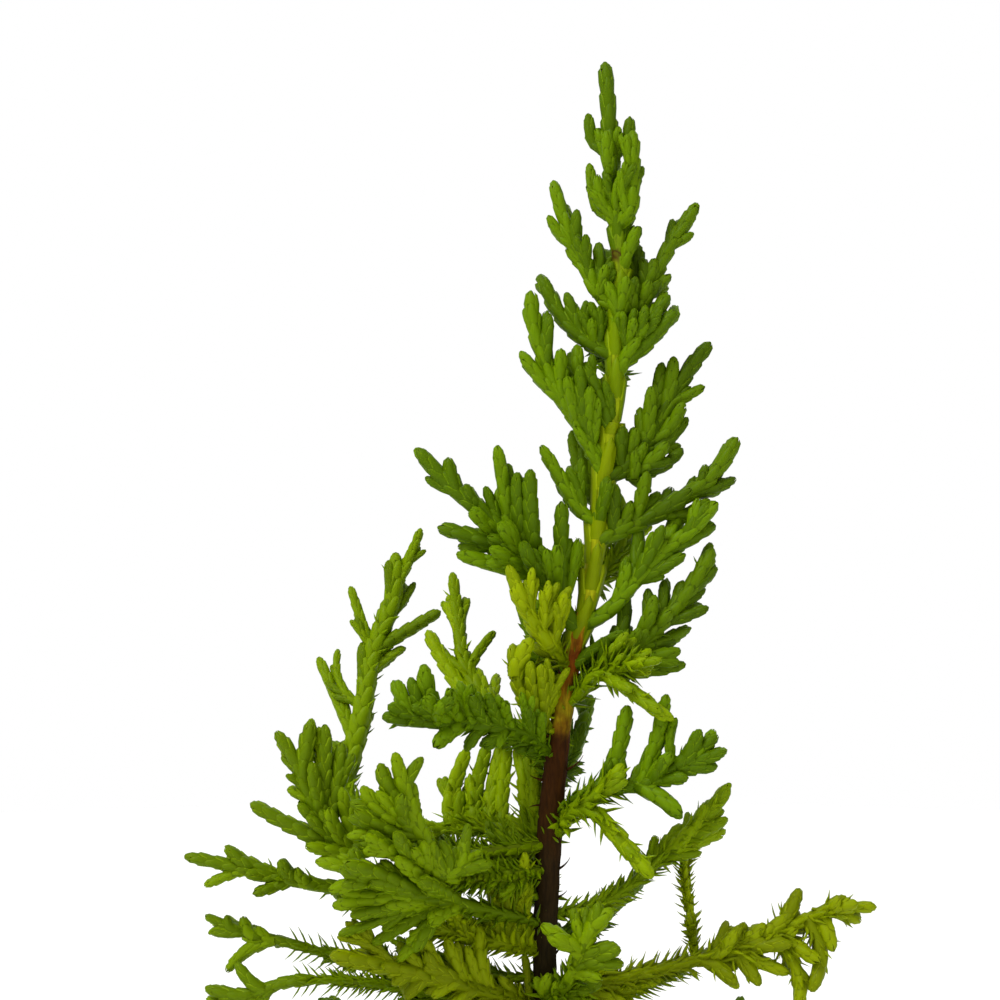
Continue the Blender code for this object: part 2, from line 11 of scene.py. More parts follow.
import bpy
import numpy as np
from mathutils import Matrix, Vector, noise


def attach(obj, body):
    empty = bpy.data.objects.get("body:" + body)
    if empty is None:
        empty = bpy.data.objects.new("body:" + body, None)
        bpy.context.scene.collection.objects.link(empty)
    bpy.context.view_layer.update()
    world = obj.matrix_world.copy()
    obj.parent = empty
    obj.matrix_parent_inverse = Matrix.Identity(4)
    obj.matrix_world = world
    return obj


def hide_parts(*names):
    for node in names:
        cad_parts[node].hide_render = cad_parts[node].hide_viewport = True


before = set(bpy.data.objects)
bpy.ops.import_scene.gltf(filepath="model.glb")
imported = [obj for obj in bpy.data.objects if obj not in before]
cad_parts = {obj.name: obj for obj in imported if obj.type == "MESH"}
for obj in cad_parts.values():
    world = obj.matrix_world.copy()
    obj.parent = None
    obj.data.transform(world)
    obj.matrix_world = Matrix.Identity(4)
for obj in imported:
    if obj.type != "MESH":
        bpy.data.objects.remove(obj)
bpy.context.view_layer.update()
MM = 0.001

# Studio
# A round light tent, in which small plants are photographed when they are to stand on white: a flat floor
# of white paper, and round it a curved wall of thin cloth lit from outside. Soft light comes from above and
# the left.
PAPER_FLOOR = 380.0
CLOTH_FOOT = 900.0
CLOTH_CURVE = 300.0
CLOTH_WALL = 900.0
CLOTH_STEPS = 12
TENT_SEGMENTS = 96
EYE_ACROSS = -4.4
EYE_HEIGHT = 76.2
EYE_DISTANCE = 250.0


def linear(colour):
    """The linear values of an sRGB colour written as six hex digits."""
    shares = [int(colour[i:i + 2], 16) / 255 for i in (1, 3, 5)]
    return (*(s / 12.92 if s <= 0.04045 else ((s + 0.055) / 1.055) ** 2.4 for s in shares), 1)


def finish(name, settings):
    """A material with one shader, its node tree and that shader."""
    made = bpy.data.materials.new(name)
    made.use_nodes = True
    shader = made.node_tree.nodes["Principled BSDF"]
    for key, value in settings.items():
        shader.inputs[key].default_value = value
    return made, made.node_tree, shader


def tent_part(name, profile, material):
    """A round sheet of the tent from its radii and heights, which belongs to the studio."""
    corners = []
    for radius, height in profile:
        for k in range(TENT_SEGMENTS):
            turn = 2 * math.pi * k / TENT_SEGMENTS
            corners.append((radius * math.cos(turn) * MM, radius * math.sin(turn) * MM, height * MM))
    faces = []
    for low in range(0, len(corners) - TENT_SEGMENTS, TENT_SEGMENTS):
        for k in range(TENT_SEGMENTS):
            beside = (k + 1) % TENT_SEGMENTS
            faces.append((low + k, low + TENT_SEGMENTS + k, low + TENT_SEGMENTS + beside, low + beside))
    mesh = bpy.data.meshes.new(name)
    mesh.from_pydata(corners, [], faces)
    mesh.shade_smooth()
    mesh.materials.append(material)
    made = bpy.data.objects.new(name, mesh)
    bpy.context.scene.collection.objects.link(made)
    return made


# Matt paper: no sheen, and white under the lamps
paper, _, _ = finish("matt white paper", {"Base Color": linear("#f4f4f2"), "Roughness": 0.95,
                                          "Specular IOR Level": 0.1, "Emission Color": linear("#ffffff"),
                                          "Emission Strength": 0.22})
tent_part("paper_floor", [(0.1, 0.0), (PAPER_FLOOR, 0.0)], paper)

# Thin cloth with light behind it: an even glow without folds. The plant takes its light from the lamps
# alone.
cloth, _, _ = finish("thin white cloth lit from behind", {
    "Base Color": linear("#000000"), "Roughness": 1.0, "Specular IOR Level": 0.0,
    "Emission Color": linear("#ffffff"), "Emission Strength": 1.0})
curve = [(PAPER_FLOOR, 0.0), (CLOTH_FOOT, 0.0)]
for step in range(1, CLOTH_STEPS + 1):
    turn = math.pi / 2 * step / CLOTH_STEPS
    curve.append((CLOTH_FOOT + CLOTH_CURVE * math.sin(turn), CLOTH_CURVE * (1 - math.cos(turn))))
lit_cloth = tent_part("lit_cloth", [*curve, (CLOTH_FOOT + CLOTH_CURVE, CLOTH_CURVE + CLOTH_WALL)], cloth)
lit_cloth.visible_diffuse = False
lit_cloth.visible_glossy = False
lit_cloth.visible_shadow = False

# The lamps are soft boxes: name, place, size, watts. All face the middle of the plant.
MIDDLE = Vector((0, 0, 62))
for name, place_of_lamp, size, power in (
        ("key_softbox", (-330, -330, 620), 420, 4.5),
        ("fill_softbox", (420, -420, 330), 500, 0.5),
        ("back_softbox", (120, 560, 480), 500, 0.9)):
    lamp = bpy.data.lights.new(name, "AREA")
    lamp.shape = "DISK"
    lamp.size = size * MM
    lamp.energy = power
    stand = bpy.data.objects.new(name, lamp)
    stand.location = Vector(place_of_lamp) * MM
    stand.rotation_euler = (MIDDLE - Vector(place_of_lamp)).to_track_quat("-Z", "Y").to_euler()
    bpy.context.scene.collection.objects.link(stand)
world = bpy.data.worlds.new("studio air")
world.use_nodes = True
world.node_tree.nodes["Background"].inputs["Color"].default_value = linear("#ffffff")
world.node_tree.nodes["Background"].inputs["Strength"].default_value = 0.45
bpy.context.scene.world = world
bpy.context.scene.view_settings.view_transform = "Standard"

lens = bpy.data.cameras.new("camera")
lens.sensor_width = 36
lens.lens = 90
lens.clip_start = 10 * MM
lens.clip_end = 10
camera = bpy.data.objects.new("camera", lens)
camera.location = Vector((EYE_ACROSS, -EYE_DISTANCE, EYE_HEIGHT)) * MM
camera.rotation_euler = (math.radians(90), 0, 0)
bpy.context.scene.collection.objects.link(camera)
bpy.context.scene.camera = camera

# Stem
# The one upright stem, from the flat cut at the ground to the leader's tip. Its foot flares into the roots,
# its lower half is fissured brown bark, and its upper half is still green under the leaves running down it.
STEM_LEAN = [(0, 0), (12, 0), (26, 0), (42, 0.5), (54, 1.7), (62, 3.1), (66, 4.4), (76, 5.6),
             (84, 6.8), (92, 7.2), (100, 7.6), (108, 6.8), (116, 6.4), (120, 6.1)]
STEM_RADIUS = [(0, 2.3), (1.5, 1.85), (5, 1.4), (26, 1.2), (42, 1.25), (54, 1.1), (62, 1.0), (84, 1.0),
               (100, 1.0), (110, 0.85), (117, 0.72), (119.2, 0.5), (120, 0.22)]
STEM_TOP = 120.0
STEM_RING = 0.25
STEM_TIP = 0.6  # over this last height the rings are set one by one
STEM_TIP_RINGS = [STEM_TOP - 0.4, STEM_TOP - 0.15, STEM_TOP]
STEM_CORNERS = 56
FLARE_HEIGHT = 5.0
FLARE_LOBES = 5
FLARE_DEPTH = 0.14
GREEN_FROM = 61.0  # height at which the bark gives way to green
GREEN_BLEND = (1.5, 3.0)  # how far below and above that height the change begins and ends
GREEN_TONGUES = 7.0  # and how far it wanders up and down
TONGUE_LENGTH = 9.0
TONGUES_ROUND = 1.1  # more of them stand round the stem where this is larger
FISSURE_DEPTH = 0.13
FISSURE_SIZE = (0.5, 3.4)  # round the stem and along it
FLAKE_DEPTH = 0.035
FLAKE_SIZE = (0.3, 0.7)
KNOT_DEPTH = 0.09
KNOT_SIZE = (1.6, 2.2)
GREEN_DEPTH = 0.03
STEM_BARE = 0.84  # the green stem is this much slimmer under its leaves


def add_node(tree, kind, settings=None, links=None):
    """One node with its settings, its properties or its sockets' own values, and what feeds it."""
    made = tree.nodes.new(kind)
    for key, value in (settings or {}).items():
        if isinstance(key, str) and hasattr(made, key):
            setattr(made, key, value)
        else:
            made.inputs[key].default_value = value
    for key, source in (links or {}).items():
        tree.links.new(source, made.inputs[key])
    return made


def between(table, height):
    """A value read from a table of heights and values, on a smooth line through them."""
    heights = [row[0] for row in table]
    values = [row[1] for row in table]
    last = len(table) - 2
    i = min(max(sum(h <= height for h in heights) - 1, 0), last)
    step = heights[i + 1] - heights[i]
    share = (height - heights[i]) / step
    before = max(i - 1, 0)
    after = min(i + 2, last + 1)
    slope_in = (values[i + 1] - values[before]) / (heights[i + 1] - heights[before]) * step
    slope_out = (values[after] - values[i]) / (heights[after] - heights[i]) * step
    square = share * share
    cube = square * share
    from_first = (2 * cube - 3 * square + 1) * values[i] + (cube - 2 * square + share) * slope_in
    from_second = (3 * square - 2 * cube) * values[i + 1] + (cube - square) * slope_out
    return from_first + from_second


def stem_middle(height):
    """The middle of the stem at this height."""
    return Vector((between(STEM_LEAN, height), 0, height))


def smooth(low, high, value):
    """0 below low, 1 above high, and an even rise between."""
    share = min(max((value - low) / (high - low), 0), 1)
    return share * share * (3 - 2 * share)


def lumps_of(x, y, height, width, length):
    """Noise between -1 and 1, with lumps of this width round the stem and this length along it."""
    return noise.noise(Vector((x / width, y / width, height / length)))


def bark_relief(x, y, height, woody):
    """How far the surface stands out of the stem's round at a place on it, in millimetres."""
    grain = lumps_of(x, y, height, *FISSURE_SIZE)
    flakes = lumps_of(x, y, height, *FLAKE_SIZE)
    knots = lumps_of(x, y, height, *KNOT_SIZE)
    fissures = -abs(grain) ** 0.7 * FISSURE_DEPTH
    wood = fissures + FISSURE_DEPTH / 3 + FLAKE_DEPTH * flakes + KNOT_DEPTH * knots
    return woody * wood + (1 - woody) * GREEN_DEPTH * knots


class Heap:
    """Faces gathered for one piece: its corners, its four-cornered faces and the finish of each face."""

    def __init__(self):
        self.corners = []
        self.faces = []
        self.finishes = []
        self.count = 0

    def add(self, corners, faces, finishes):
        """Copies of one form: corners is (copies, corners, 3), and faces are those of one copy. Finishes
        are its numbers, or one number for all its faces."""
        copies, size = corners.shape[:2]
        starts = self.count + np.arange(copies) * size
        self.corners.append(corners.reshape(-1, 3))
        self.faces.append((faces[None] + starts[:, None, None]).reshape(-1, 4))
        self.finishes.append(np.tile(np.broadcast_to(finishes, len(faces)), copies))
        self.count += copies * size


def make_piece(name, heap, finishes, slot, nodes):
    """The heap as one object that rides on the plant, with these finishes, and stands for these nodes. The
    slot is not used.
    """
    mesh = bpy.data.meshes.new(name)
    mesh.from_pydata(np.concatenate(heap.corners) * MM, [], np.concatenate(heap.faces))
    for made in finishes:
        mesh.materials.append(made)
    mesh.polygons.foreach_set("material_index", np.concatenate(heap.finishes).astype(np.int32))
    mesh.shade_smooth()
    mesh.update()
    made = bpy.data.objects.new(name, mesh)
    bpy.context.scene.collection.objects.link(made)
    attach(made, "root")
    if nodes:
        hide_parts(*nodes)
    return made


def ring_faces(rings, around):
    """The faces of a tube, and of the two ends that close it, for an even count of corners around."""
    made = []
    top = (rings - 1) * around
    for low in range(0, top, around):
        for k in range(around):
            beside = low + (k + 1) % around
            made.append((low + k, beside, beside + around, low + k + around))
    for k in range(around // 2 - 1):
        made.append((around - 1 - k, around - 2 - k, k + 1, k))
        made.append((top + k, top + k + 1, top + around - 2 - k, top + around - 1 - k))
    return np.array(made)


stem_heights = np.append(np.arange(0, STEM_TOP - STEM_TIP, STEM_RING), STEM_TIP_RINGS)
stem_corners = []
for height in stem_heights:
    middle = stem_middle(height)
    radius = between(STEM_RADIUS, height)
    share = min(height / FLARE_HEIGHT, 1)
    for k in range(STEM_CORNERS):
        turn = 2 * math.pi * k / STEM_CORNERS
        across = math.cos(turn)
        back = math.sin(turn)
        tongue = noise.noise(Vector((across * TONGUES_ROUND, back * TONGUES_ROUND, height / TONGUE_LENGTH)))
        woody = 1 - smooth(GREEN_FROM - GREEN_BLEND[0], GREEN_FROM + GREEN_BLEND[1],
                           height + GREEN_TONGUES * tongue)
        lobe = 1 + FLARE_DEPTH * math.cos(FLARE_LOBES * turn) * (1 - share) ** 2
        bare = STEM_BARE + (1 - STEM_BARE) * woody
        out = radius * bare * lobe + bark_relief(across * radius, back * radius, height, woody)
        stem_corners.append((middle.x + across * out, back * out, height))
heap = Heap()
heap.add(np.array([stem_corners]), ring_faces(len(stem_heights), STEM_CORNERS), 0)

# Thin young bark, cracked lengthwise into dry plates, dark brown low down and red-brown where it is newest,
# with green skin above it: matt all over, and a little waxy where it is green. The bright orange and yellow
# in the red-brown band from 54 to 62 mm is partly the bark's own colour and partly painted highlight.
bark, tree, shader = finish("young bark over green skin", {"IOR": 1.45, "Specular IOR Level": 0.12})
where = add_node(tree, "ShaderNodeTexCoord")
split = add_node(tree, "ShaderNodeSeparateXYZ", links={0: where.outputs["Object"]})
tongues = add_node(tree, "ShaderNodeTexNoise", {"Scale": 420.0, "Detail": 3.0, "Roughness": 0.6},
                   {"Vector": where.outputs["Object"]})
wander = add_node(tree, "ShaderNodeMath",
                  {"operation": "MULTIPLY_ADD", 1: GREEN_TONGUES * MM, 2: -GREEN_TONGUES / 2 * MM},
                  {0: tongues.outputs["Fac"]})
level = add_node(tree, "ShaderNodeMath", {"operation": "ADD"},
                 {0: split.outputs["Z"], 1: wander.outputs["Value"]})
up = add_node(tree, "ShaderNodeMapRange", {"From Min": 0.0, "From Max": STEM_TOP * MM},
              {"Value": level.outputs["Value"]})
age_and_highlight = add_node(tree, "ShaderNodeValToRGB", links={"Fac": up.outputs["Result"]})
# Heights and colours: the orange and yellow from 54 to 62 mm are partly painted highlight on red-brown bark
STEM_COLOURS = [(0, "#2a1a0a"), (30, "#241c08"), (40, "#2a1c08"), (44, "#361e04"), (52, "#3e2006"),
                (54, "#6c4c04"), (55.2, "#8c7c06"), (57.4, "#885e06"), (59.4, "#7c4004"), (61, "#703404"),
                (62.4, "#a06c0a"), (64, "#ac980a"), (66, "#acac0a"), (78, "#94a004"), (98.5, "#7c9202"),
                (100.3, "#3c1e06"), (101.6, "#657d02"), (120, "#587200")]
while len(age_and_highlight.color_ramp.elements) < len(STEM_COLOURS):
    age_and_highlight.color_ramp.elements.new(1.0)
for element, (height, colour) in zip(age_and_highlight.color_ramp.elements, STEM_COLOURS):
    element.position = height / STEM_TOP
    element.color = linear(colour)
stretched = add_node(tree, "ShaderNodeMapping", {"Scale": (2600, 2600, 520)},
                     {"Vector": where.outputs["Object"]})
plates = add_node(tree, "ShaderNodeTexNoise", {"Scale": 1.0, "Detail": 5.0, "Roughness": 0.65},
                  {"Vector": stretched.outputs["Vector"]})
weathered = add_node(tree, "ShaderNodeMapRange",
                     {"From Min": 0.3, "From Max": 0.7, "To Min": 0.55, "To Max": 1.5},
                     {"Value": plates.outputs["Fac"]})
toned = add_node(tree, "ShaderNodeVectorMath", {"operation": "SCALE"},
                 {0: age_and_highlight.outputs["Color"], "Scale": weathered.outputs["Result"]})
tree.links.new(toned.outputs["Vector"], shader.inputs["Base Color"])
dryness = add_node(tree, "ShaderNodeMapRange",
                   {"From Min": 0.45, "From Max": 0.6, "To Min": 0.85, "To Max": 0.5},
                   {"Value": up.outputs["Result"]})
tree.links.new(dryness.outputs["Result"], shader.inputs["Roughness"])
cracks = add_node(tree, "ShaderNodeBump", {"Strength": 0.6, "Distance": 0.06 * MM},
                  {"Height": plates.outputs["Fac"]})
tree.links.new(cracks.outputs["Normal"], shader.inputs["Normal"])
make_piece("stem_bark", heap, [bark], "bark", ["stem"])

# Lines
# Every bough, twig and leaf is set out on a line: the limb's middle, with two directions square to it that
# are carried along without a twist, so that the leaf pairs stand crossed from end to end.
LINE_STEP = 0.35
CORD_TAPER = 0.26
BLUNT_END = 1.7  # a limb's end rounds off over this many radii
LONGEST_CAP = 0.8  # and over no more than this share of the limb
WAIST_TO = 1 / 3  # it has its full radius from this share of its length on
THINNEST = 0.03
Line = namedtuple("Line", "points ahead side over reach")


def set_out(points, turn):
    """The line through these points, its two square directions turned round it by turn."""
    points = np.array(points, float)
    ahead = np.gradient(points, axis=0)
    ahead /= np.linalg.norm(ahead, axis=1)[:, None]
    first = np.cross(ahead[0], (0.21, 0.95, 0.23))
    first /= np.linalg.norm(first)
    first = first * math.cos(turn) + np.cross(ahead[0], first) * math.sin(turn)
    side = [first]
    for direction in ahead[1:]:
        square = side[-1] - direction * side[-1].dot(direction)
        side.append(square / np.linalg.norm(square))
    side = np.array(side)
    steps = np.linalg.norm(np.diff(points, axis=0), axis=1)
    return Line(points, ahead, side, np.cross(ahead, side), np.append(0, np.cumsum(steps)))


def read_line(line, reach):
    """The points and the three directions of the line at these distances from its start."""
    return [np.stack([np.interp(reach, line.reach, part[:, i]) for i in range(3)], axis=-1)
            for part in (line.points, line.ahead, line.side, line.over)]


def thickness(line, radius, waist, rounding):
    """A function that gives the limb's radius at distances from its start, to nothing at its blunt end."""
    whole = line.reach[-1]
    cap = min(radius * rounding, whole * LONGEST_CAP)

    def at(reach):
        share = np.clip(reach / whole, 0, 1)
        swollen = waist + (1 - waist) * np.clip(share / WAIST_TO, 0, 1)
        slimmed = 1 - CORD_TAPER * share
        past = np.clip((reach - (whole - cap)) / cap, 0, 1)
        return radius * swollen * slimmed * np.sqrt(np.maximum(1 - past ** 2.2, 0))

    return at


def several(dice, low, high, count):
    """Random numbers between low and high."""
    return np.array([dice.uniform(low, high) for _ in range(count)])


def sweep(line, radius_at, around, step, low=0.0, high=None):
    """The corners of a tube along a line or part of it, as one copy for a heap, and its faces."""
    high = line.reach[-1] if high is None else high
    rings = max(3, math.ceil((high - low) / step) + 1)
    reach = np.linspace(low, high, rings)
    middle, _, side, over = read_line(line, reach)
    turns = np.arange(around) * 2 * math.pi / around
    out = side[:, None] * np.cos(turns)[None, :, None] + over[:, None] * np.sin(turns)[None, :, None]
    radii = np.maximum(radius_at(reach), THINNEST)
    return (middle[:, None] + out * radii[:, None, None]).reshape(1, -1, 3), ring_faces(rings, around)


# Scale leaves
# Small thick leaves in crossed pairs, pressed to the twig and overlapping like tiles. Each is a bowed shell
# with paler margins, whose foot, edges and tip are sunk in what it lies on, so that no gap shows under it.
SCALE_ACROSS = np.array([-1, -0.84, 0, 0.84, 1])
SCALE_ALONG = np.array([0, 0.45, 0.86, 1])
SCALE_LIFT = np.array([0.0, 0.2, 0.27, -0.04])  # how high its middle stands at these shares of its length
SCALE_BOW = 1 - 1.15 * np.abs(SCALE_ACROSS) ** 4
SCALE_HALF = math.radians(57)
SCALE_WIDTHS = SCALE_HALF * (0.05 + 0.95 * np.maximum(1 - SCALE_ALONG ** 2.8, 0) ** 0.7)
SCALE_LENGTH = 2.2  # in spacings of the leaf pairs, so that each covers the feet of the next two
SCALE_SHIFT = 0.06  # how far a pair may stand off its place along the twig, in spacings
SCALE_TURN = 0.09  # and round it
SCALE_LENGTHS = (0.92, 1.08)
SCALE_LIFTS = (0.85, 1.15)
LAST_SCALE = 0.45  # the last pair stands this many spacings before the twig's end
SCALE_PAST = 0.12  # no leaf reaches further than this many radii past the end
LEAST_LIFT = 0.1  # at the twig's very end a leaf stands up by this share of the usual
TWIG_SHARE = 0.86  # the twig under the leaves, as a share of the whole cord's radius
BODY, LIGHTER, MARGIN = range(3)
width = len(SCALE_ACROSS)
scale_form = np.array([(i * width + k, i * width + k + 1, (i + 1) * width + k + 1, (i + 1) * width + k)
                       for i in range(len(SCALE_ALONG) - 1) for k in range(width - 1)])
scale_kinds = np.array([BODY] * 4 + [MARGIN, BODY, BODY, MARGIN] * 2)


def lay_scales(heap, line, radius, radius_at, start, spacing, dice, lighter, length=SCALE_LENGTH, free=0.0):
    """Pairs of scale leaves from start to the line's end. Free is how far their tips stand off."""
    whole = line.reach[-1]
    feet = np.arange(start, whole - spacing * LAST_SCALE, spacing)
    if not len(feet):
        return
    feet = np.repeat(feet + several(dice, -SCALE_SHIFT, SCALE_SHIFT, len(feet)) * spacing, 2)
    count = len(feet)
    number = np.arange(count)
    turns = math.pi * (number % 2) + math.pi / 2 * (number // 2 % 2)
    turns = turns + several(dice, -SCALE_TURN, SCALE_TURN, count)
    lengths = spacing * length * several(dice, *SCALE_LENGTHS, count)
    lengths = np.minimum(lengths, whole + SCALE_PAST * radius - feet)
    reach = np.minimum(feet[:, None] + lengths[:, None] * SCALE_ALONG, whole)
    lift = radius * SCALE_LIFT * several(dice, *SCALE_LIFTS, count)[:, None] + free * SCALE_ALONG ** 3
    lift = lift * (LEAST_LIFT + (1 - LEAST_LIFT) * np.clip(radius_at(reach) / radius, 0, 1))
    middle, _, side, over = read_line(line, reach)
    turn = turns[:, None, None] + SCALE_WIDTHS[:, None] * SCALE_ACROSS
    out = side[:, :, None] * np.cos(turn)[..., None] + over[:, :, None] * np.sin(turn)[..., None]
    height = radius_at(reach)[:, :, None] * TWIG_SHARE + lift[:, :, None] * SCALE_BOW
    corners = middle[:, :, None] + out * height[..., None]
    kinds = scale_kinds.copy()
    if lighter:
        kinds[kinds == BODY] = LIGHTER
    heap.add(corners.reshape(count, -1, 3), scale_form, kinds)


# Sharp leaves
# The young leaves of shaded and low shoots: flat awls in crossed pairs that run down the twig, leave it at
# a wide angle and end in a soft point.
AWL_ALONG = np.array([0, 0.3, 0.62, 1])
AWL_RUN_DOWN = 0.3  # the share of a sharp leaf that lies along the twig
AWL_BEND = (0.21, 0.56)  # the shares of its length between which it bends away from the twig
AWL_LENGTH = 1.7
AWL_WIDTH = 0.34
AWL_THICKNESS = 0.16
AWL_UNDERSIDE = 0.6  # it is flatter below by this share
AWL_TIP = (0.015, 0.012)  # half the width and the thickness of its very tip
AWL_SPACING = 0.75
AWL_SPREAD = math.radians(62)
AWL_LEVELLING = 0.22  # the share of that angle that its tip has lost again
AWL_FOOT = 0.82  # how far out its foot lies, as a share of the twig's radius
AWL_TURN = 0.22  # how far it may stand off its place round the twig
AWL_LENGTHS = (0.78, 1.12)
AWL_SPREADS = (0.78, 1.2)
AWL_WIDTHS = (0.85, 1.15)
awl_form = ring_faces(len(AWL_ALONG), 4)[:-2]


def lay_awls(heap, line, radius_at, starts, length, dice, finish_number, chance=1.0):
    """Pairs of sharp leaves at these distances along a line."""
    feet = []
    turns = []
    for i, foot in enumerate(starts):
        for half in (0, math.pi):
            turn = math.pi / 2 * (i % 2) + half + dice.uniform(-AWL_TURN, AWL_TURN)
            if dice.random() < chance:
                feet.append(foot)
                turns.append(turn)
    if not feet:
        return
    feet = np.array(feet)
    turns = np.array(turns)
    count = len(feet)
    sizes = length * several(dice, *AWL_LENGTHS, count) / (1 - AWL_RUN_DOWN)
    spreads = AWL_SPREAD * several(dice, *AWL_SPREADS, count)
    middle, ahead, side, over = read_line(line, feet)
    out = side * np.cos(turns)[:, None] + over * np.sin(turns)[:, None]
    beside = np.cross(ahead, out)
    rise = np.clip((AWL_ALONG - AWL_BEND[0]) / (AWL_BEND[1] - AWL_BEND[0]), 0, 1)
    angles = spreads[:, None] * (rise * (1 - AWL_LEVELLING * AWL_ALONG))[None]
    piece_length = sizes[:, None] * np.diff(AWL_ALONG, prepend=0)[None]
    forward = np.cumsum(np.cos(angles) * piece_length, axis=1) - sizes[:, None] * AWL_RUN_DOWN
    outward = np.cumsum(np.sin(angles) * piece_length, axis=1)
    outward += radius_at(feet)[:, None] * AWL_FOOT
    spine = middle[:, None] + ahead[:, None] * forward[..., None] + out[:, None] * outward[..., None]
    normal = out[:, None] * np.cos(angles)[..., None] - ahead[:, None] * np.sin(angles)[..., None]
    slim = AWL_WIDTH * (1 - AWL_ALONG ** 2.4) + AWL_TIP[0]
    thick = AWL_THICKNESS * (1 - AWL_ALONG ** 2) + AWL_TIP[1]
    slim = slim[None] * several(dice, *AWL_WIDTHS, count)[:, None]
    keel = spine + normal * thick[None, :, None]
    under = spine - normal * (thick * AWL_UNDERSIDE)[None, :, None]
    left = spine - beside[:, None] * slim[..., None]
    right = spine + beside[:, None] * slim[..., None]
    corners = np.stack([right, keel, left, under], axis=2)
    heap.add(corners.reshape(count, -1, 3), awl_form, finish_number)


# Leaf colours
# Each spray has one of these greens, all living leaf with a thin wax: shaded shoots are deep, young and
# hidden ones are yellower, partly in their own colour and partly as painted light on low sprays that lie in
# the shade of others, which take the lighter olive and yellow greens. Each has a body, a slightly lighter
# body for some of its cords, and a margin.
TINTS = {
    "deep": ("#465e00", "#577200", "#5d7704"),
    "mid": ("#4e6900", "#617f00", "#688504"),
    "fresh": ("#6e8600", "#809800", "#889f06"),
    "olive": ("#5b7300", "#708a00", "#789104"),
    "ripe": ("#707e00", "#829200", "#8a9906"),
    "yellow": ("#798a00", "#8b9d00", "#93a408"),
}


def leaf_finish(name, colour):
    """Living leaf: a plain colour under thin wax, smoother in some places, with a grain of small cells."""
    made, tree, shader = finish(name, {
        "Base Color": linear(colour), "IOR": 1.45, "Specular IOR Level": 0.07, "Subsurface Weight": 0.1,
        "Subsurface Radius": (0.3, 0.6, 0.1), "Subsurface Scale": 0.5 * MM})
    where = add_node(tree, "ShaderNodeTexCoord")
    wax = add_node(tree, "ShaderNodeTexNoise", {"Scale": 1300.0, "Detail": 2.0},
                   {"Vector": where.outputs["Object"]})
    gloss = add_node(tree, "ShaderNodeMapRange",
                     {"From Min": 0.3, "From Max": 0.7, "To Min": 0.38, "To Max": 0.6},
                     {"Value": wax.outputs["Fac"]})
    tree.links.new(gloss.outputs["Result"], shader.inputs["Roughness"])
    cells = add_node(tree, "ShaderNodeTexNoise", {"Scale": 5200.0, "Detail": 2.0},
                     {"Vector": where.outputs["Object"]})
    grain = add_node(tree, "ShaderNodeBump", {"Strength": 0.35, "Distance": 0.03 * MM},
                     {"Height": cells.outputs["Fac"]})
    tree.links.new(grain.outputs["Normal"], shader.inputs["Normal"])
    return made


leaf_finishes = {}
for tint, (body, lighter_body, margin) in TINTS.items():
    leaf_finishes[tint] = [leaf_finish(f"living leaf, {tint} green", body),
                           leaf_finish(f"living leaf, {tint} green in the light", lighter_body),
                           leaf_finish(f"leaf margin, {tint} green", margin)]

# Stem leaves
# Long leaves that run down the green stem and hide it, yellow-green low down and green on the leader, with
# free tips. Below them, on the brown bark, a few dry ones still stand out as spines.
BROWN_RING = 100.3  # height of the scar where last year's growth stopped
LEADER_FROM = 101.0
LEADER_RADIUS = 1.0
STEM_LEAVES_OUT = 1.08  # they stand this much further out than the stem's own radius
LEADER_SPACING = 1.3
LEADER_LENGTH = 2.3
# Name, the heights between which they stand, spacing, length in spacings, how far their tips stand off, and
# tint
STEM_LEAVES = [("stem_leaves_low", GREEN_FROM - 1.5, 84.0, 2.6, 1.9, 0.45, "yellow"),
               ("stem_leaves_high", 84.0, BROWN_RING - 0.8, 2.2, 2.0, 0.15, "fresh")]
stem_points = [stem_middle(h) for h in np.arange(0, STEM_TOP + LINE_STEP / 2, LINE_STEP)]
stem_line = set_out(stem_points, math.radians(20))
stem_dice = random.Random("stem leaves")


def stem_radius_at(reach):
    """The stem's radius at distances from the ground along its line."""
    heights = np.interp(reach, stem_line.reach, stem_line.points[:, 2])
    flat = [between(STEM_RADIUS, min(h, STEM_TOP)) for h in heights.ravel()]
    return np.array(flat).reshape(heights.shape)


def up_the_stem(height):
    """The distance along the stem's line at this height."""
    return float(np.interp(height, stem_line.points[:, 2], stem_line.reach))


def part_of(line, low, high):
    """The stretch of a line between two distances from its start."""
    inside = (line.reach >= low) & (line.reach <= high)
    return Line(line.points[inside], line.ahead[inside], line.side[inside], line.over[inside],
                line.reach[inside] - line.reach[inside][0])


for name, low, high, spacing, length, free, tint in STEM_LEAVES:
    start = up_the_stem(low)
    heap = Heap()
    lay_scales(heap, part_of(stem_line, start, up_the_stem(high)), between(STEM_RADIUS, (low + high) / 2),
               lambda reach: stem_radius_at(reach + start) * STEM_LEAVES_OUT, 0.2, spacing, stem_dice,
               False, length, free)
    make_piece(name, heap, leaf_finishes[tint], "green_wood", [])
leader = part_of(stem_line, up_the_stem(LEADER_FROM), stem_line.reach[-1])
heap = Heap()
lay_scales(heap, leader, LEADER_RADIUS, thickness(leader, LEADER_RADIUS, 1.0, BLUNT_END), 0.0,
           LEADER_SPACING, stem_dice, False, LEADER_LENGTH)
make_piece("leader_leaves", heap, leaf_finishes["mid"], "scale_leaves", [])

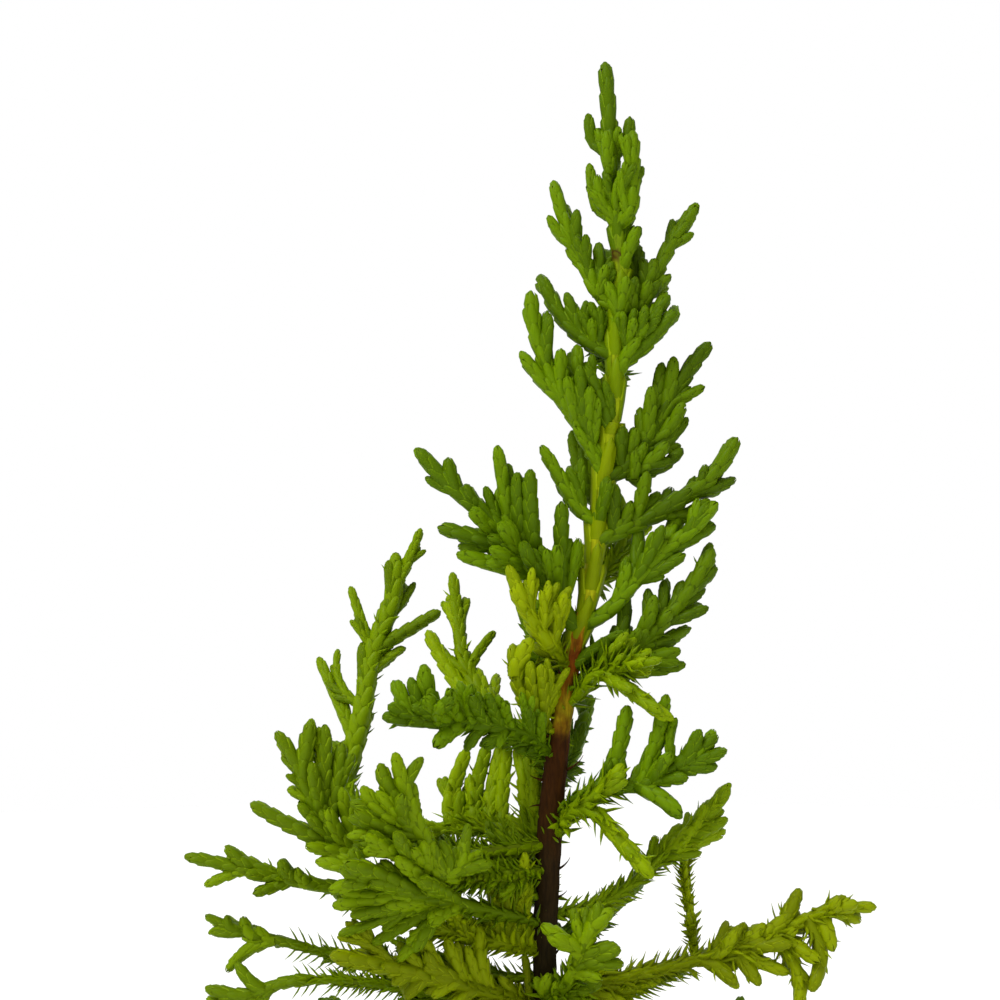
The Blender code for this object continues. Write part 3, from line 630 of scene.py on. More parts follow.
# Dry spines
# The first leaves of the stem, long dead: brown and stiff, each as wide at its foot as it is thick, and
# bent up a little. Their feet are in the bark.
SPINES = [(49.0, (3.9, -0.4, 50.7)), (48.0, (-1.4, -0.3, 48.7)), (45.6, (-1.5, -0.2, 45.5)),
          (39.0, (2.6, -0.2, 40.5)), (36.2, (2.3, -0.3, 37.2)), (56.8, (5.2, -0.6, 58.4)),
          (52.4, (-0.9, -0.6, 53.5)), (33.0, (-1.8, 0.6, 34.4)), (30.2, (1.9, 1.6, 31.8)),
          (42.6, (1.2, 2.6, 44.2)), (46.4, (0.4, 2.7, 47.8)), (54.6, (2.4, 2.6, 56.2)),
          (28.0, (-1.7, 1.4, 29.4)), (24.4, (1.6, -1.7, 25.8)), (21.6, (-1.9, -1.2, 23.0)),
          (14.6, (1.9, 1.1, 16.0)), (12.0, (-1.2, -1.9, 13.6)), (9.4, (0.8, 2.2, 11.0))]
SPINE_RADIUS = 0.26
SPINE_TAPER = 0.94
SPINE_CORNERS = 6
SPINE_STEPS = 8


def bend(start, middle, end, steps):
    """Points on one smooth bend from start to end, drawn towards middle."""
    shares = [i / steps for i in range(steps + 1)]
    return [start * (1 - t) ** 2 + middle * 2 * t * (1 - t) + end * t ** 2 for t in shares]


heap = Heap()
for foot, tip in SPINES:
    start = stem_middle(foot)
    tip = Vector(tip)
    out = Vector((tip.x - start.x, tip.y, 0))
    line = set_out(bend(start, start + out * 0.75 + Vector((0, 0, 0.25)), tip, SPINE_STEPS), 0.3)
    heap.add(*sweep(line, lambda reach: SPINE_RADIUS * (1 - reach / reach[-1] * SPINE_TAPER),
                    SPINE_CORNERS, LINE_STEP), 0)
make_piece("dry_spines", heap, [bark], "bark", [])

# Boughs
# Young side branches, one tapering limb each from the stem to the spray that it carries: green-brown skin
# with fine lengthwise wrinkles, set with sharp leaves.
SEAT = 0.3
SPRAY_STEPS = 5
BOUGH_STEPS = 6
BOUGH_CORNERS = 12
BOUGH_COLLAR = 4.0  # it swells from half its radius over this length
BOUGH_START = 0.92
BOUGH_TAPER = 0.35
BOUGH_LUMPS = 0.16
BOUGH_LEAF_SPACING = 0.55  # as a share of what a cord's sharp leaves have
BOUGH_LEAF_CHANCE = 0.95
UP = Vector((0, 0, 1))
Bough = namedtuple("Bough", "name foot tip bow radius")
BOUGHS = [
    Bough("bough_left", 41.6, (-11.6, -6.2, 40.6), 0.3, 0.9),
    Bough("bough_left_front", 39.2, (-9.2, -9.6, 38.6), 0.3, 0.8),
    Bough("bough_left_back", 39.4, (-19.2, 13.0, 45.6), 1.4, 0.9),
    Bough("bough_left_needled", 28.5, (-25.5, -3.0, 31.9), 0.9, 0.5),
    Bough("bough_left_lowest", 24.0, (-25.0, -6.0, 28.2), -1.2, 0.5),
    Bough("bough_right", 25.4, (14.6, 3.2, 29.9), 0.6, 0.75),
]


def place(across, back, up):
    """The place that shows across and up from the foot of the stem, when it stands that far behind it."""
    nearer = (EYE_DISTANCE + back) / EYE_DISTANCE
    seen_across = EYE_ACROSS + (across - EYE_ACROSS) * nearer
    seen_up = EYE_HEIGHT + (up - EYE_HEIGHT) * nearer
    return Vector((seen_across, back, seen_up))


def hanging_middle(start, end, bow):
    """What a limb's bend is drawn towards, so that its middle hangs out from the stem and down by bow."""
    run = end - start
    push = Vector((run.x, run.y, 0)).normalized() - UP
    push -= run * (push.dot(run) / run.length_squared)
    return (start + end) / 2 + push.normalized() * 2 * bow


def seat_on_stem(height, end, radius, bow):
    """Where a limb of this radius starts, its cut face just clear of the stem, on its way to end."""
    middle = stem_middle(height)
    path = bend(middle, hanging_middle(middle, end, bow), end, SPRAY_STEPS)
    outward = Vector((end.x - middle.x, end.y, 0)).normalized()
    rise = (path[1] - path[0]).normalized().z
    reach = 0
    for edge in (-1, 1):
        beside = height + edge * radius * math.sqrt(1 - rise ** 2)
        lean = (stem_middle(beside) - middle).dot(outward)
        reach = max(reach, lean + between(STEM_RADIUS, beside) + edge * radius * rise)
    return middle + outward * (reach + SEAT)


# Green-brown skin of a side branch: satin, wrinkled lengthwise
skin, tree, shader = finish("green skin of young wood",
                            {"IOR": 1.45, "Specular IOR Level": 0.12, "Roughness": 0.6})
where = add_node(tree, "ShaderNodeTexCoord")
patches = add_node(tree, "ShaderNodeTexNoise", {"Scale": 500.0, "Detail": 4.0},
                   {"Vector": where.outputs["Object"]})
mixed = add_node(tree, "ShaderNodeValToRGB", links={"Fac": patches.outputs["Fac"]})
mixed.color_ramp.elements[0].position = 0.35
mixed.color_ramp.elements[0].color = linear("#4e5a04")
mixed.color_ramp.elements[1].position = 0.65
mixed.color_ramp.elements[1].color = linear("#667c06")
tree.links.new(mixed.outputs["Color"], shader.inputs["Base Color"])
wrinkles = add_node(tree, "ShaderNodeTexNoise", {"Scale": 3000.0, "Detail": 3.0},
                    {"Vector": where.outputs["Object"]})
relief = add_node(tree, "ShaderNodeBump", {"Strength": 0.5, "Distance": 0.05 * MM},
                  {"Height": wrinkles.outputs["Fac"]})
tree.links.new(relief.outputs["Normal"], shader.inputs["Normal"])

bough_ends = {}
bough_awls = Heap()
heap = Heap()
for bough in BOUGHS:
    tip = place(*bough.tip)
    start = seat_on_stem(bough.foot, tip, bough.radius, bough.bow)
    drawn = hanging_middle(start, tip, bough.bow)
    bough_ends[bough.name] = bend(start, drawn, tip, BOUGH_STEPS)
    into_stem = start + (start - drawn).normalized() * (SEAT + bough.radius)
    steps = math.ceil((tip - start).length / LINE_STEP)
    line = set_out([into_stem, *bend(start, drawn, tip, steps)], 0.4)

    def bough_radius_at(reach):
        collar = 0.5 + 0.5 * np.clip(reach / BOUGH_COLLAR, 0, 1)
        return bough.radius * collar * (BOUGH_START - BOUGH_TAPER * reach / line.reach[-1])

    corners, faces = sweep(line, bough_radius_at, BOUGH_CORNERS, LINE_STEP)
    lumps = np.array([noise.noise(Vector(c) / 0.5) for c in corners[0]])
    middles = np.repeat(corners.reshape(-1, BOUGH_CORNERS, 3).mean(axis=1), BOUGH_CORNERS, axis=0)
    corners[0] += (corners[0] - middles) * BOUGH_LUMPS * lumps[:, None]
    heap.add(corners, faces, 0)
    starts = np.arange(0.5, line.reach[-1] - 0.5, AWL_SPACING * BOUGH_LEAF_SPACING)
    dice = random.Random(bough.name + " leaves")
    lay_awls(bough_awls, line, bough_radius_at, starts, AWL_LENGTH, dice, BODY, BOUGH_LEAF_CHANCE)
bough_names = [bough.name for bough in BOUGHS]
make_piece("boughs", heap, [skin], "green_wood", bough_names)
make_piece("bough_leaves", bough_awls, leaf_finishes["fresh"], "sharp_leaves", bough_names)

# Sprays
# Every leafy shoot grows by one rule: a stem, cords on it, and finer side cords on those. The stems are the
# frame's own. Cords that the photograph shows stand where it shows them, and all others follow the rule.
Spray = namedtuple("Spray", "name foot tip bow radius awl tint")
# The tint paints light as well as colour: low sprays in the shade of others, such as low_left_feathered,
# have the lighter olive and yellow greens
SPRAYS = [
    Spray("tip_left", 111.6, (4.4, 0.2, 114.9), 0.0, 0.8, 0, "mid"),
    Spray("tip_right", 111.4, (8.6, 0.2, 114.6), 0.0, 0.8, 0, "mid"),
    Spray("tip_front", 109.4, (6.3, -2.2, 113.2), 0.0, 0.7, 0, "mid"),
    Spray("tip_back", 109.0, (7.2, 2.4, 113.4), 0.0, 0.65, 0, "mid"),
    Spray("crown_right", 104.4, (8.9, -1.6, 113.2), 0.1, 0.85, 0, "mid"),
    Spray("crown_left", 105.0, (4.5, 0.6, 109.9), 0.0, 0.75, 0, "mid"),
    Spray("left_1", 96.4, (0.9, 1.0, 108.2), 0.3, 0.95, 0.1, "mid"),
    Spray("left_2", 91.4, (-0.3, 1.0, 98.6), 0.3, 0.95, 0.1, "mid"),
    Spray("left_3", 81.0, (-1.3, -0.8, 97.2), 1.8, 1.0, 0.1, "mid"),
    Spray("left_4_behind", 76.8, (2.8, 3.0, 83.2), 0.2, 0.9, 0.1, "deep"),
    Spray("left_4", 74.8, (-0.3, -1.4, 81.7), 0.0, 0.85, 0.15, "mid"),
    Spray("left_5", 64.4, (-12.7, -3.2, 81.4), 0.7, 1.1, 0.15, "mid"),
    Spray("left_6", 60.6, (-3.2, -5.2, 67.6), 0.2, 0.95, 0.3, "yellow"),
    Spray("left_7", 53.6, (-3.1, -2.0, 61.9), 1.0, 0.85, 0.3, "yellow"),
    Spray("left_8_behind", 52.0, (-9.2, 10.0, 69.0), 3.0, 0.85, 0.35, "fresh"),
    Spray("left_9_behind", "bough_left_back", (-14.8, 17.0, 71.0), 1.0, 1.3, 0.2, "olive"),
    Spray("left_10", 51.4, (-16.2, -10.0, 54.6), 0.5, 1.05, 0.35, "mid"),
    Spray("left_11_behind", 42.4, (-10.6, 7.4, 48.4), 2.0, 0.85, 0.8, "fresh"),
    Spray("low_left_rising", "bough_left", (-26.8, -9.0, 53.1), 2.6, 0.95, 0.1, "olive"),
    Spray("low_left_front_up", "bough_left_front", (-14.9, -15.0, 51.0), 0.8, 0.95, 0.1, "olive"),
    Spray("low_left_long", 37.2, (-36.0, -6.4, 40.6), 2.0, 0.9, 0.45, "olive"),
    Spray("low_left_front", 34.4, (-20.4, -16.0, 39.4), 0.5, 1.0, 0.4, "olive"),
    Spray("low_left_feathered", 31.6, (-12.0, -6.4, 33.7), 0.4, 0.85, 1.0, "yellow"),
    Spray("low_left_fork", "bough_left_needled", (-33.9, -3.4, 34.7), 0.3, 0.6, 0, "olive"),
    Spray("lowest_left_fork", "bough_left_lowest", (-33.5, -6.4, 25.6), 0.2, 0.7, 0, "olive"),
    Spray("low_left_blunt", 26.2, (-21.4, -13.0, 30.7), -0.2, 1.1, 0.45, "ripe"),
    Spray("right_1", 94.6, (15.4, 1.6, 105.9), 0.2, 0.9, 0.1, "deep"),
    Spray("right_1_lower", 90.6, (13.3, -1.6, 95.2), 0.0, 0.95, 0.1, "mid"),
    Spray("right_2", 79.2, (16.7, 1.6, 92.0), 0.5, 1.0, 0.1, "deep"),
    Spray("right_3", 73.0, (19.4, 0.0, 82.5), 1.0, 1.0, 0.1, "deep"),
    Spray("right_4", 64.6, (17.4, -2.0, 76.0), -0.3, 0.95, 0.15, "mid"),
    Spray("right_5", 58.2, (16.9, -1.0, 71.4), 2.2, 1.05, 0.2, "deep"),
    Spray("right_6", 56.4, (11.8, -8.0, 54.9), -1.4, 0.9, 0.5, "fresh"),
    Spray("right_7", 45.4, (17.4, -6.0, 52.7), 0.9, 0.9, 0.45, "mid"),
    Spray("right_8", 43.2, (10.9, -9.0, 38.4), -1.0, 1.0, 0.6, "fresh"),
    Spray("right_9_behind", 35.0, (18.7, 4.0, 47.9), 1.4, 0.7, 0.6, "fresh"),
    Spray("right_thin", "bough_right", (13.9, 5.0, 40.7), 0.2, 0.45, 1.0, "yellow"),
    Spray("low_right", 27.6, (33.3, 1.0, 35.5), 0.9, 0.8, 0.55, "ripe"),
    Spray("low_front_right", 26.4, (4.8, -9.0, 33.9), 0.8, 0.9, 0.5, "olive"),
]

# The cords of each spray that the photograph shows: where the foot shows across and up, where the tip shows
# across and up, how far behind the stem the tip is, and the radius
CORDS = {
    "crown_right": [(8.4, 106.7, 9.9, 109.6, -1, 0.65), (7.8, 105.7, 7.7, 109.4, -2.4, 0.6),
        (8.4, 109.7, 8.3, 112.8, -2.2, 0.6)],
    "crown_left": [(5.6, 105.7, 4.5, 107.5, 0.2, 0.65)],
    "left_1": [(1.6, 102.2, 0.4, 104.7, 0.5, 0.72), (2.9, 101.2, 3.3, 105.3, -0.3, 0.8),
        (4.1, 99.2, 4.2, 102.8, -1.2, 0.7), (5.6, 97.2, 5.5, 102, 0.8, 0.9),
        (3.1, 100, 2.3, 101.6, 1.2, 0.6), (5.6, 96.2, 6.2, 99.8, -1.6, 0.7)],
    "right_1": [(13, 102.2, 12.8, 104.3, 2, 0.75), (13.8, 102.2, 15, 102.9, 0.8, 0.6),
        (11.1, 97.2, 12.7, 98.8, 0.4, 0.75), (9.2, 96.2, 9.4, 101.8, 2.2, 0.9),
        (8.6, 94.2, 8.4, 98.3, -1.8, 1), (10.1, 96.2, 11.1, 100.4, 0.2, 0.9),
        (9.6, 95.2, 10.6, 98.2, -1.4, 0.85)],
    "right_1_lower": [(9.6, 93.2, 12.6, 96.7, -0.8, 0.8), (8.6, 91.7, 10.4, 94, -2.4, 0.65),
        (8.1, 91.7, 9.1, 94.4, -2.8, 0.65), (7.8, 91.2, 8, 94.7, -2.4, 0.5),
        (10.1, 93.7, 11.6, 94.4, -2.2, 0.8)],
    "left_2": [(5.4, 91, 2.2, 94, 1.2, 0.85), (4.1, 92.7, 4.2, 96.2, 0.4, 0.7),
        (5.6, 92.2, 5.6, 95.7, -0.8, 0.65), (3.4, 93.2, 2.2, 97, 0.4, 0.85),
        (4.6, 92.2, 4.8, 94.4, -1.4, 0.7)],
    "left_3": [(-1.1, 93.2, -2, 95.4, -0.4, 0.65), (-0.2, 90.2, 0.6, 94.7, -1.6, 0.85),
        (0.4, 87, -2.4, 91.1, -1, 0.85), (1.6, 85.7, 1.7, 91.4, -2, 0.9),
        (3.4, 86.2, 3.3, 91.8, 0.2, 0.9), (3.1, 83.7, 2.3, 88.6, -2.6, 0.8),
        (3.9, 83.2, 3.6, 89.7, -3, 0.9), (4.6, 83.2, 4.8, 90.8, -1.6, 0.7),
        (5.2, 82.2, 5.4, 86.5, -2.2, 0.6), (4.4, 83.2, 4.6, 87.6, -2.8, 0.8),
        (2.1, 85.2, 0.6, 88.2, -0.6, 0.8), (5.1, 81.7, 3.1, 86.2, -1.6, 0.9)],
    "left_4_behind": [(4.6, 78.2, 3.7, 81.6, 1.6, 0.9), (5.2, 78.2, 4.8, 82.2, 1.2, 0.8),
        (4.6, 79.2, 2.6, 81.7, 3.4, 0.8)],
    "left_4": [(4.1, 76.2, 2.4, 79.4, -1, 0.7)],
    "right_2": [(7.4, 79.8, 7.9, 83.6, -1, 0.85), (8.8, 80.6, 9.2, 83.4, -1, 0.8),
        (12.4, 84.2, 13, 90.6, 1, 0.95), (11.1, 83.2, 11.8, 90, 1.8, 0.95),
        (10.6, 82.2, 10.7, 87.6, -0.6, 0.9), (10.1, 81.2, 9.6, 85.5, 0.8, 0.85),
        (13.6, 86.2, 16.1, 87.6, -0.2, 0.7), (11.8, 80.7, 14.4, 84.5, 0.2, 0.75),
        (12.4, 82.2, 14, 86, -1, 0.8), (11.1, 78.2, 13.9, 81.4, 0.4, 0.8),
        (9.6, 78.2, 12.4, 82, -1.6, 0.85), (9.6, 76.7, 9, 81.2, -1.4, 0.7),
        (8.6, 78.2, 10.2, 82, -0.6, 0.9)],
    "right_3": [(6.9, 73.8, 7.2, 77.8, -1.6, 0.85), (8.2, 74, 8.7, 75.9, -1.4, 0.8),
        (15.6, 76.7, 16.2, 79.8, -0.4, 0.65), (16.1, 76.7, 19.2, 78.4, 0.6, 0.7),
        (13.6, 74.2, 17.4, 75.9, -0.6, 0.8), (14.6, 76.2, 15.3, 78.5, 1, 0.7),
        (10.6, 74.2, 14.8, 77.3, -1.8, 1), (9.6, 74.2, 10.3, 79.1, -1.2, 0.8),
        (9.1, 73.7, 11.6, 77, 0.8, 0.9), (11.6, 74.7, 12.8, 77.5, 1, 0.9)],
    "right_4": [(11.6, 70.7, 17.2, 73.7, -1, 0.85), (10.6, 68.7, 14.2, 70.8, -1.8, 0.8),
        (9.6, 68.2, 9.4, 73.8, 0.6, 0.95), (12.1, 71.2, 13.8, 75, 0.4, 0.9),
        (7.8, 67, 8.5, 70, -1.2, 0.8), (9.6, 68.7, 12, 73.7, -2.4, 0.85)],
    "right_5": [(15.6, 67.7, 17.2, 69.4, -1, 0.65), (14.6, 66.2, 16.1, 67.4, 0.2, 0.75),
        (12.1, 65.2, 12, 68.2, 1.4, 0.8), (13.6, 65.7, 13.9, 68.2, -0.6, 0.85),
        (10.6, 63.7, 10.4, 67.4, -0.4, 0.85), (7.9, 60.2, 8.2, 67, 0.6, 0.95),
        (13.6, 64.2, 16.5, 65.5, -1.4, 0.75), (11.1, 61.2, 14.4, 63.4, 0.8, 0.85),
        (9.6, 59.7, 13.7, 61.2, -1.8, 0.95), (8.1, 58.4, 14.2, 59.8, -0.6, 0.85),
        (9.6, 61.7, 11.1, 66, -2.2, 0.95), (6.6, 59, 6, 62.5, -2.8, 1),
        (7.6, 59.4, 9.6, 63.4, -2.8, 0.85), (11.1, 63.2, 12.8, 65.2, -2, 0.95)],
    "right_7": [(7.4, 50.2, 8.4, 55.7, -4.2, 0.95), (10.6, 48.7, 12.3, 56.8, -5.5, 0.85),
        (12.1, 52.7, 13.2, 54.3, -5.5, 0.55), (9.6, 47.7, 10.6, 51.8, -4, 0.65),
        (14.6, 50.2, 15.6, 53.3, -6.5, 0.95), (16.1, 50.7, 17, 53.3, -5.4, 0.85),
        (15.6, 50, 18.2, 51.1, -6.6, 0.8), (14.6, 49.4, 17.4, 49.6, -5.8, 0.85),
        (11.8, 48.4, 14.4, 48.4, -6.8, 0.85), (10.6, 47.4, 13.8, 44.8, -6.6, 1.05),
        (11.6, 48.4, 13.2, 50.6, -5, 1), (11.1, 48, 12, 50.4, -6.8, 0.9),
        (6.2, 47.2, 6.6, 50.4, -4.2, 0.9), (7.6, 47.4, 7.8, 50.5, -3.8, 0.9)],
    "right_9_behind": [(14.6, 41.7, 16.3, 45.9, 3.5, 0.9), (13.6, 41.2, 18.2, 43.2, 4.5, 0.8),
        (13.6, 40.7, 15.8, 41, 3.5, 0.7), (11.1, 40, 13.8, 43.8, 4.6, 0.95),
        (15.6, 43.2, 17.8, 46.1, 4.4, 0.8), (10.6, 40, 11.3, 42.6, 4, 0.5),
        (12.6, 40.7, 15, 43.6, 2.6, 0.9), (15.2, 42.4, 18.4, 44.4, 3.6, 0.85),
        (16.4, 44.2, 18.6, 47.4, 3.8, 0.75)],
    "low_right": [(24.1, 33.7, 25.6, 37.4, 1, 0.86), (28.6, 35.2, 30.2, 36.6, 0, 0.86),
        (29.6, 35, 31.7, 34, 1.5, 0.75), (20.1, 30.7, 24.5, 28.8, 0, 0.86),
        (21.1, 31.7, 24.8, 31.8, -1.2, 1), (17.6, 31.4, 18.3, 33.9, 2, 0.75),
        (19.1, 31.5, 20.1, 34, 1, 0.92), (20.8, 32, 22.1, 33.9, 0, 0.92),
        (22.6, 32.7, 24.4, 34.8, 0.5, 0.98), (28.2, 34.8, 28.9, 31, -1, 0.95),
        (28.8, 31.3, 26.7, 27, -1.2, 0.95), (26.8, 27.8, 25.2, 25.9, -1.4, 0.8),
        (28.4, 34.7, 28.7, 32.1, -0.4, 0.57), (17.1, 30.2, 19.3, 27.7, -1.4, 0.86),
        (29.1, 35.4, 31.4, 35.9, -0.8, 0.92), (21, 30.6, 25.4, 33.4, 0, 0.9),
        (17.6, 30, 19.2, 33.2, -0.8, 0.85), (25, 31.6, 27.6, 30, -1.6, 0.9),
        (20, 30.4, 21.6, 27.6, -1, 0.85), (28.4, 34.6, 29.6, 36.4, -0.6, 0.8)],
    "low_front_right": [(3.2, 31, 7.4, 31.6, -9, 0.9), (3.6, 30.2, 8, 29.8, -8.6, 0.9),
        (2.9, 29.6, 5.8, 28.2, -8, 0.8), (3.6, 31.7, 0.5, 32.7, -9.5, 0.95),
        (3.6, 32.7, 6.9, 35.3, -9, 1), (5.1, 30.2, 7.6, 31.4, -9.4, 0.95),
        (4.1, 31.2, 3.1, 34.4, -8.6, 0.8)],
    "left_5": [(-9.4, 77.7, -9.6, 80.5, -3, 0.9), (-10.4, 77.5, -11.9, 78.5, -2.4, 0.7),
        (-6.9, 75.7, -7.9, 77.8, -3.6, 0.65), (-3.9, 71.7, -10.7, 73.5, -2, 1),
        (-0.4, 68.7, -8.8, 70.8, -3.4, 1), (-3.2, 72.2, -4.7, 81.7, -4, 0.9),
        (-4.4, 73.2, -5.9, 77.6, -2, 0.75), (-3, 72.2, -3.6, 79.9, -2.6, 0.75),
        (-2.6, 71.2, -2.7, 79, -4.6, 0.9), (-1.4, 69.2, -1.4, 79.3, -5, 1),
        (1.6, 67.2, 1.8, 76.1, -3.4, 1), (2.4, 67.2, 3.5, 72.4, -2.6, 0.65),
        (0.6, 67.2, 0.3, 71.3, -4.6, 0.7), (-2.4, 70.2, -4.4, 74, -5, 1),
        (-0.4, 67.7, -2.2, 72, -5.4, 0.95), (-5.4, 73.2, -7.4, 75.1, -4.4, 0.85),
        (-1.4, 69.2, -5.4, 71.4, -5, 0.9), (0.8, 67.2, 1.4, 71.7, -4.6, 0.9)],
    "left_6": [(0.4, 64.8, -0.3, 67.2, -4.8, 0.6), (1.8, 63.6, 1.2, 66, -4.6, 0.6),
        (-1.1, 66.2, -2, 67.8, -4.6, 0.6)],
    "left_7": [(-3, 60, -1.1, 62.4, -2.6, 1.05), (-2.8, 59.7, -2, 61.9, -1.8, 0.95),
        (-1.1, 55.7, -1.4, 60.1, -3, 0.85), (0.1, 55, -0.3, 59.8, -3.4, 0.75),
        (0.7, 56.2, 0.6, 59.4, -2.6, 0.6), (-0.4, 55.7, -0.8, 58.6, -1.6, 0.7)],
    "left_8_behind": [(-8.9, 64.2, -9.9, 66, 10, 0.65), (-8.6, 64.2, -7.5, 66.4, 10, 0.65),
        (-7.9, 59.7, -4.9, 63.1, 9, 0.65), (-9.4, 59.7, -11.7, 62.8, 9, 0.65),
        (-5.4, 55.7, -4.7, 58.8, 8, 0.7), (-8.2, 56.2, -11.7, 63.2, 8.5, 0.9),
        (-6.9, 55, -9.6, 60.4, 8, 1.05), (-5.9, 54.7, -8.2, 60.7, 7.4, 1.1),
        (-5.6, 55, -6.8, 59.4, 6.8, 1), (-6.8, 56.2, -8.6, 62.2, 8.4, 1),
        (-4.9, 55, -5.8, 57.8, 6, 0.8), (-7.4, 55.4, -9.6, 59, 6.5, 0.9)],
    "left_9_behind": [(-13.9, 68.7, -12.3, 73.4, 16, 0.65), (-13.6, 70, -11.8, 71.2, 16, 0.45),
        (-14.4, 65.2, -12.9, 68, 18, 0.55), (-17.9, 62.7, -19.4, 67.6, 18, 0.65),
        (-17.4, 62.2, -19.4, 64.2, 16, 0.55), (-16.4, 61.7, -10.3, 65.1, 15, 0.8),
        (-16.9, 59.7, -13.9, 61.5, 16, 0.6), (-19.2, 53.2, -22.6, 60.5, 18, 0.8),
        (-21.4, 57.2, -20.6, 61.3, 18, 0.55), (-17.8, 56.2, -18.2, 62, 16, 0.9),
        (-14.9, 66.2, -15.6, 70.2, 16.5, 0.9)],
    "left_10": [(-11.4, 55, -12.1, 59.8, -9.5, 1), (-12.4, 55, -13.4, 58.5, -8.5, 0.9),
        (-13.9, 55, -15.1, 58.2, -8, 0.8), (-9.4, 54.7, -9.3, 57.3, -10.6, 0.9),
        (-7.9, 54.4, -7.2, 57.8, -8, 0.85), (-9.2, 53.7, -11, 51.5, -9.5, 0.9),
        (-3.9, 54, -3.9, 56.1, -7, 0.7), (-6.4, 54.2, -7.4, 56.6, -9.6, 0.8),
        (-4.9, 54, -5.6, 56.8, -8.4, 0.75), (-11.4, 54.4, -10, 55.8, -11.2, 0.9),
        (-1.9, 53.5, -1.6, 55.6, -5, 0.65), (-13.4, 54.6, -15.6, 55.6, -10.8, 0.8),
        (-10.4, 54.4, -11.9, 56.4, -11, 0.9), (-0.4, 53.2, -0.2, 55, -3.6, 0.6),
        (-6.6, 53.4, -7.4, 52, -6.6, 0.7), (-4.4, 53.4, -4.6, 51.4, -6, 0.75)],
    "left_11_behind": [(-8.3, 42.6, -5.6, 52, 6, 0.95), (-11.4, 42.4, -7.6, 51.4, 6, 1),
        (-9.4, 42, -8.3, 47.2, 5.4, 0.9), (-10.4, 42.4, -11.9, 44, 4, 0.7),
        (-6.3, 42.4, -4.2, 52, 6.5, 1), (-6.7, 44.4, -8, 47.6, 6.6, 0.7),
        (-4.9, 42.6, -3.6, 51.8, 6, 0.9), (-2.2, 48.2, -2.2, 52.4, 6, 0.8),
        (-1.2, 48, -0.6, 51.6, 4, 0.65), (-1.2, 41.2, -1.6, 47.7, 2, 0.5),
        (-8.9, 42, -9.9, 45, 4.6, 0.8), (-9.8, 45.6, -9.9, 48.6, 6.4, 0.65),
        (-5.9, 44.6, -5, 48.8, 5.4, 0.75), (-4.9, 43.4, -3.9, 47.6, 5, 0.8)],
    "low_left_rising": [(-24.4, 49.2, -23.2, 54.2, -9.5, 0.95), (-21.9, 46.7, -21.9, 53.8, -8.5, 0.95),
        (-20.9, 45.7, -20.2, 52, -8, 0.9), (-19.9, 40.4, -29.4, 45.9, -9, 0.95),
        (-25.2, 49.7, -26.3, 50.5, -8.6, 0.5), (-24.7, 48.2, -25.8, 48.7, -9.4, 0.5),
        (-24.2, 46.7, -25.7, 47.3, -8.8, 0.6), (-22.2, 43.4, -24.6, 45.8, -9.5, 0.75),
        (-20.9, 42, -23.7, 44.6, -10, 0.75), (-19.4, 42.7, -20.4, 47.6, -8.6, 0.95),
        (-22.6, 44.7, -23.2, 50, -10.2, 0.85), (-20.4, 41.2, -21.6, 45.4, -10.4, 0.9),
        (-18.4, 40.7, -23.9, 41.6, -9.6, 0.8)],
    "low_left_front_up": [(-15.6, 46.2, -16.4, 49.9, -15, 0.95), (-16.4, 44.2, -18.2, 47.6, -15, 1),
        (-13.9, 45.7, -13.6, 49, -14, 0.7), (-13.6, 48.7, -12.1, 50.5, -14, 0.75),
        (-13.2, 42.7, -13.1, 48, -13.5, 0.8), (-15.1, 43.7, -14.1, 46.8, -16, 0.85),
        (-15.9, 42.7, -18.9, 45.3, -15.5, 0.9), (-14.4, 40.2, -17.8, 42.6, -16.5, 0.9),
        (-13.4, 39.2, -14.8, 43, -16.5, 0.85), (-11.9, 39.2, -11.9, 43.7, -12, 0.9),
        (-11.4, 39, -13.2, 41.3, -14.6, 0.8), (-8.9, 39.2, -10.4, 42.2, -11, 0.8),
        (-7.4, 39.2, -8.2, 42.4, -9.4, 0.8), (-10.4, 39, -11.6, 42.4, -12.5, 0.85)],
    "low_left_long": [(-29.9, 39.6, -31.8, 41.6, -6.6, 0.8), (-30.9, 39.2, -34, 37.6, -6.4, 0.6),
        (-25.9, 38.4, -26.2, 40.2, -7.2, 0.95), (-26.9, 37.6, -29.1, 36.8, -7, 0.7),
        (-24.4, 37.8, -24.8, 39.4, -6, 0.8), (-28.2, 39, -30.4, 40.5, -5.8, 0.85),
        (-28.2, 38.6, -29.8, 38.8, -7.2, 0.8)],
    "low_left_front": [(-16.9, 39, -22.9, 40.1, -14, 0.85), (-13.9, 38.2, -19.9, 39.8, -16.6, 1.1),
        (-10.4, 37.2, -14.8, 40.4, -15, 1), (-9.4, 37, -12.4, 38.2, -14.4, 0.9),
        (-14.4, 37.7, -17.4, 38.2, -14.8, 0.9), (-11.4, 36.2, -19.4, 34.6, -13, 0.8),
        (-11.9, 35.7, -20.6, 32.7, -12.4, 0.6), (-14.4, 36.4, -21.2, 35.6, -12, 0.9),
        (-11.4, 35.2, -17.2, 31.8, -11, 0.8), (-11.4, 33.7, -14.7, 30, -9.6, 0.8),
        (-10.4, 35.7, -13, 31, -11, 0.85), (-9.9, 36.2, -15.9, 35.7, -12, 0.9),
        (-9.4, 35.7, -11.4, 33.7, -11.5, 0.85)],
    "low_left_feathered": [(-3.9, 33.7, -4.1, 40.4, -3, 0.8), (-2.4, 33.7, -1.9, 41, -2.4, 0.75),
        (-5.2, 34, -5.1, 39.6, -3.6, 0.75), (-7.4, 34.7, -12.6, 37, -6.6, 0.9),
        (-8.2, 34.7, -10.4, 39.2, -6, 0.8), (-8.9, 34.6, -11.4, 35.8, -6.4, 0.7),
        (-3.2, 33.7, -3, 39, -1.8, 0.8), (-4.6, 33.8, -4.8, 38.2, -2.4, 0.8)],
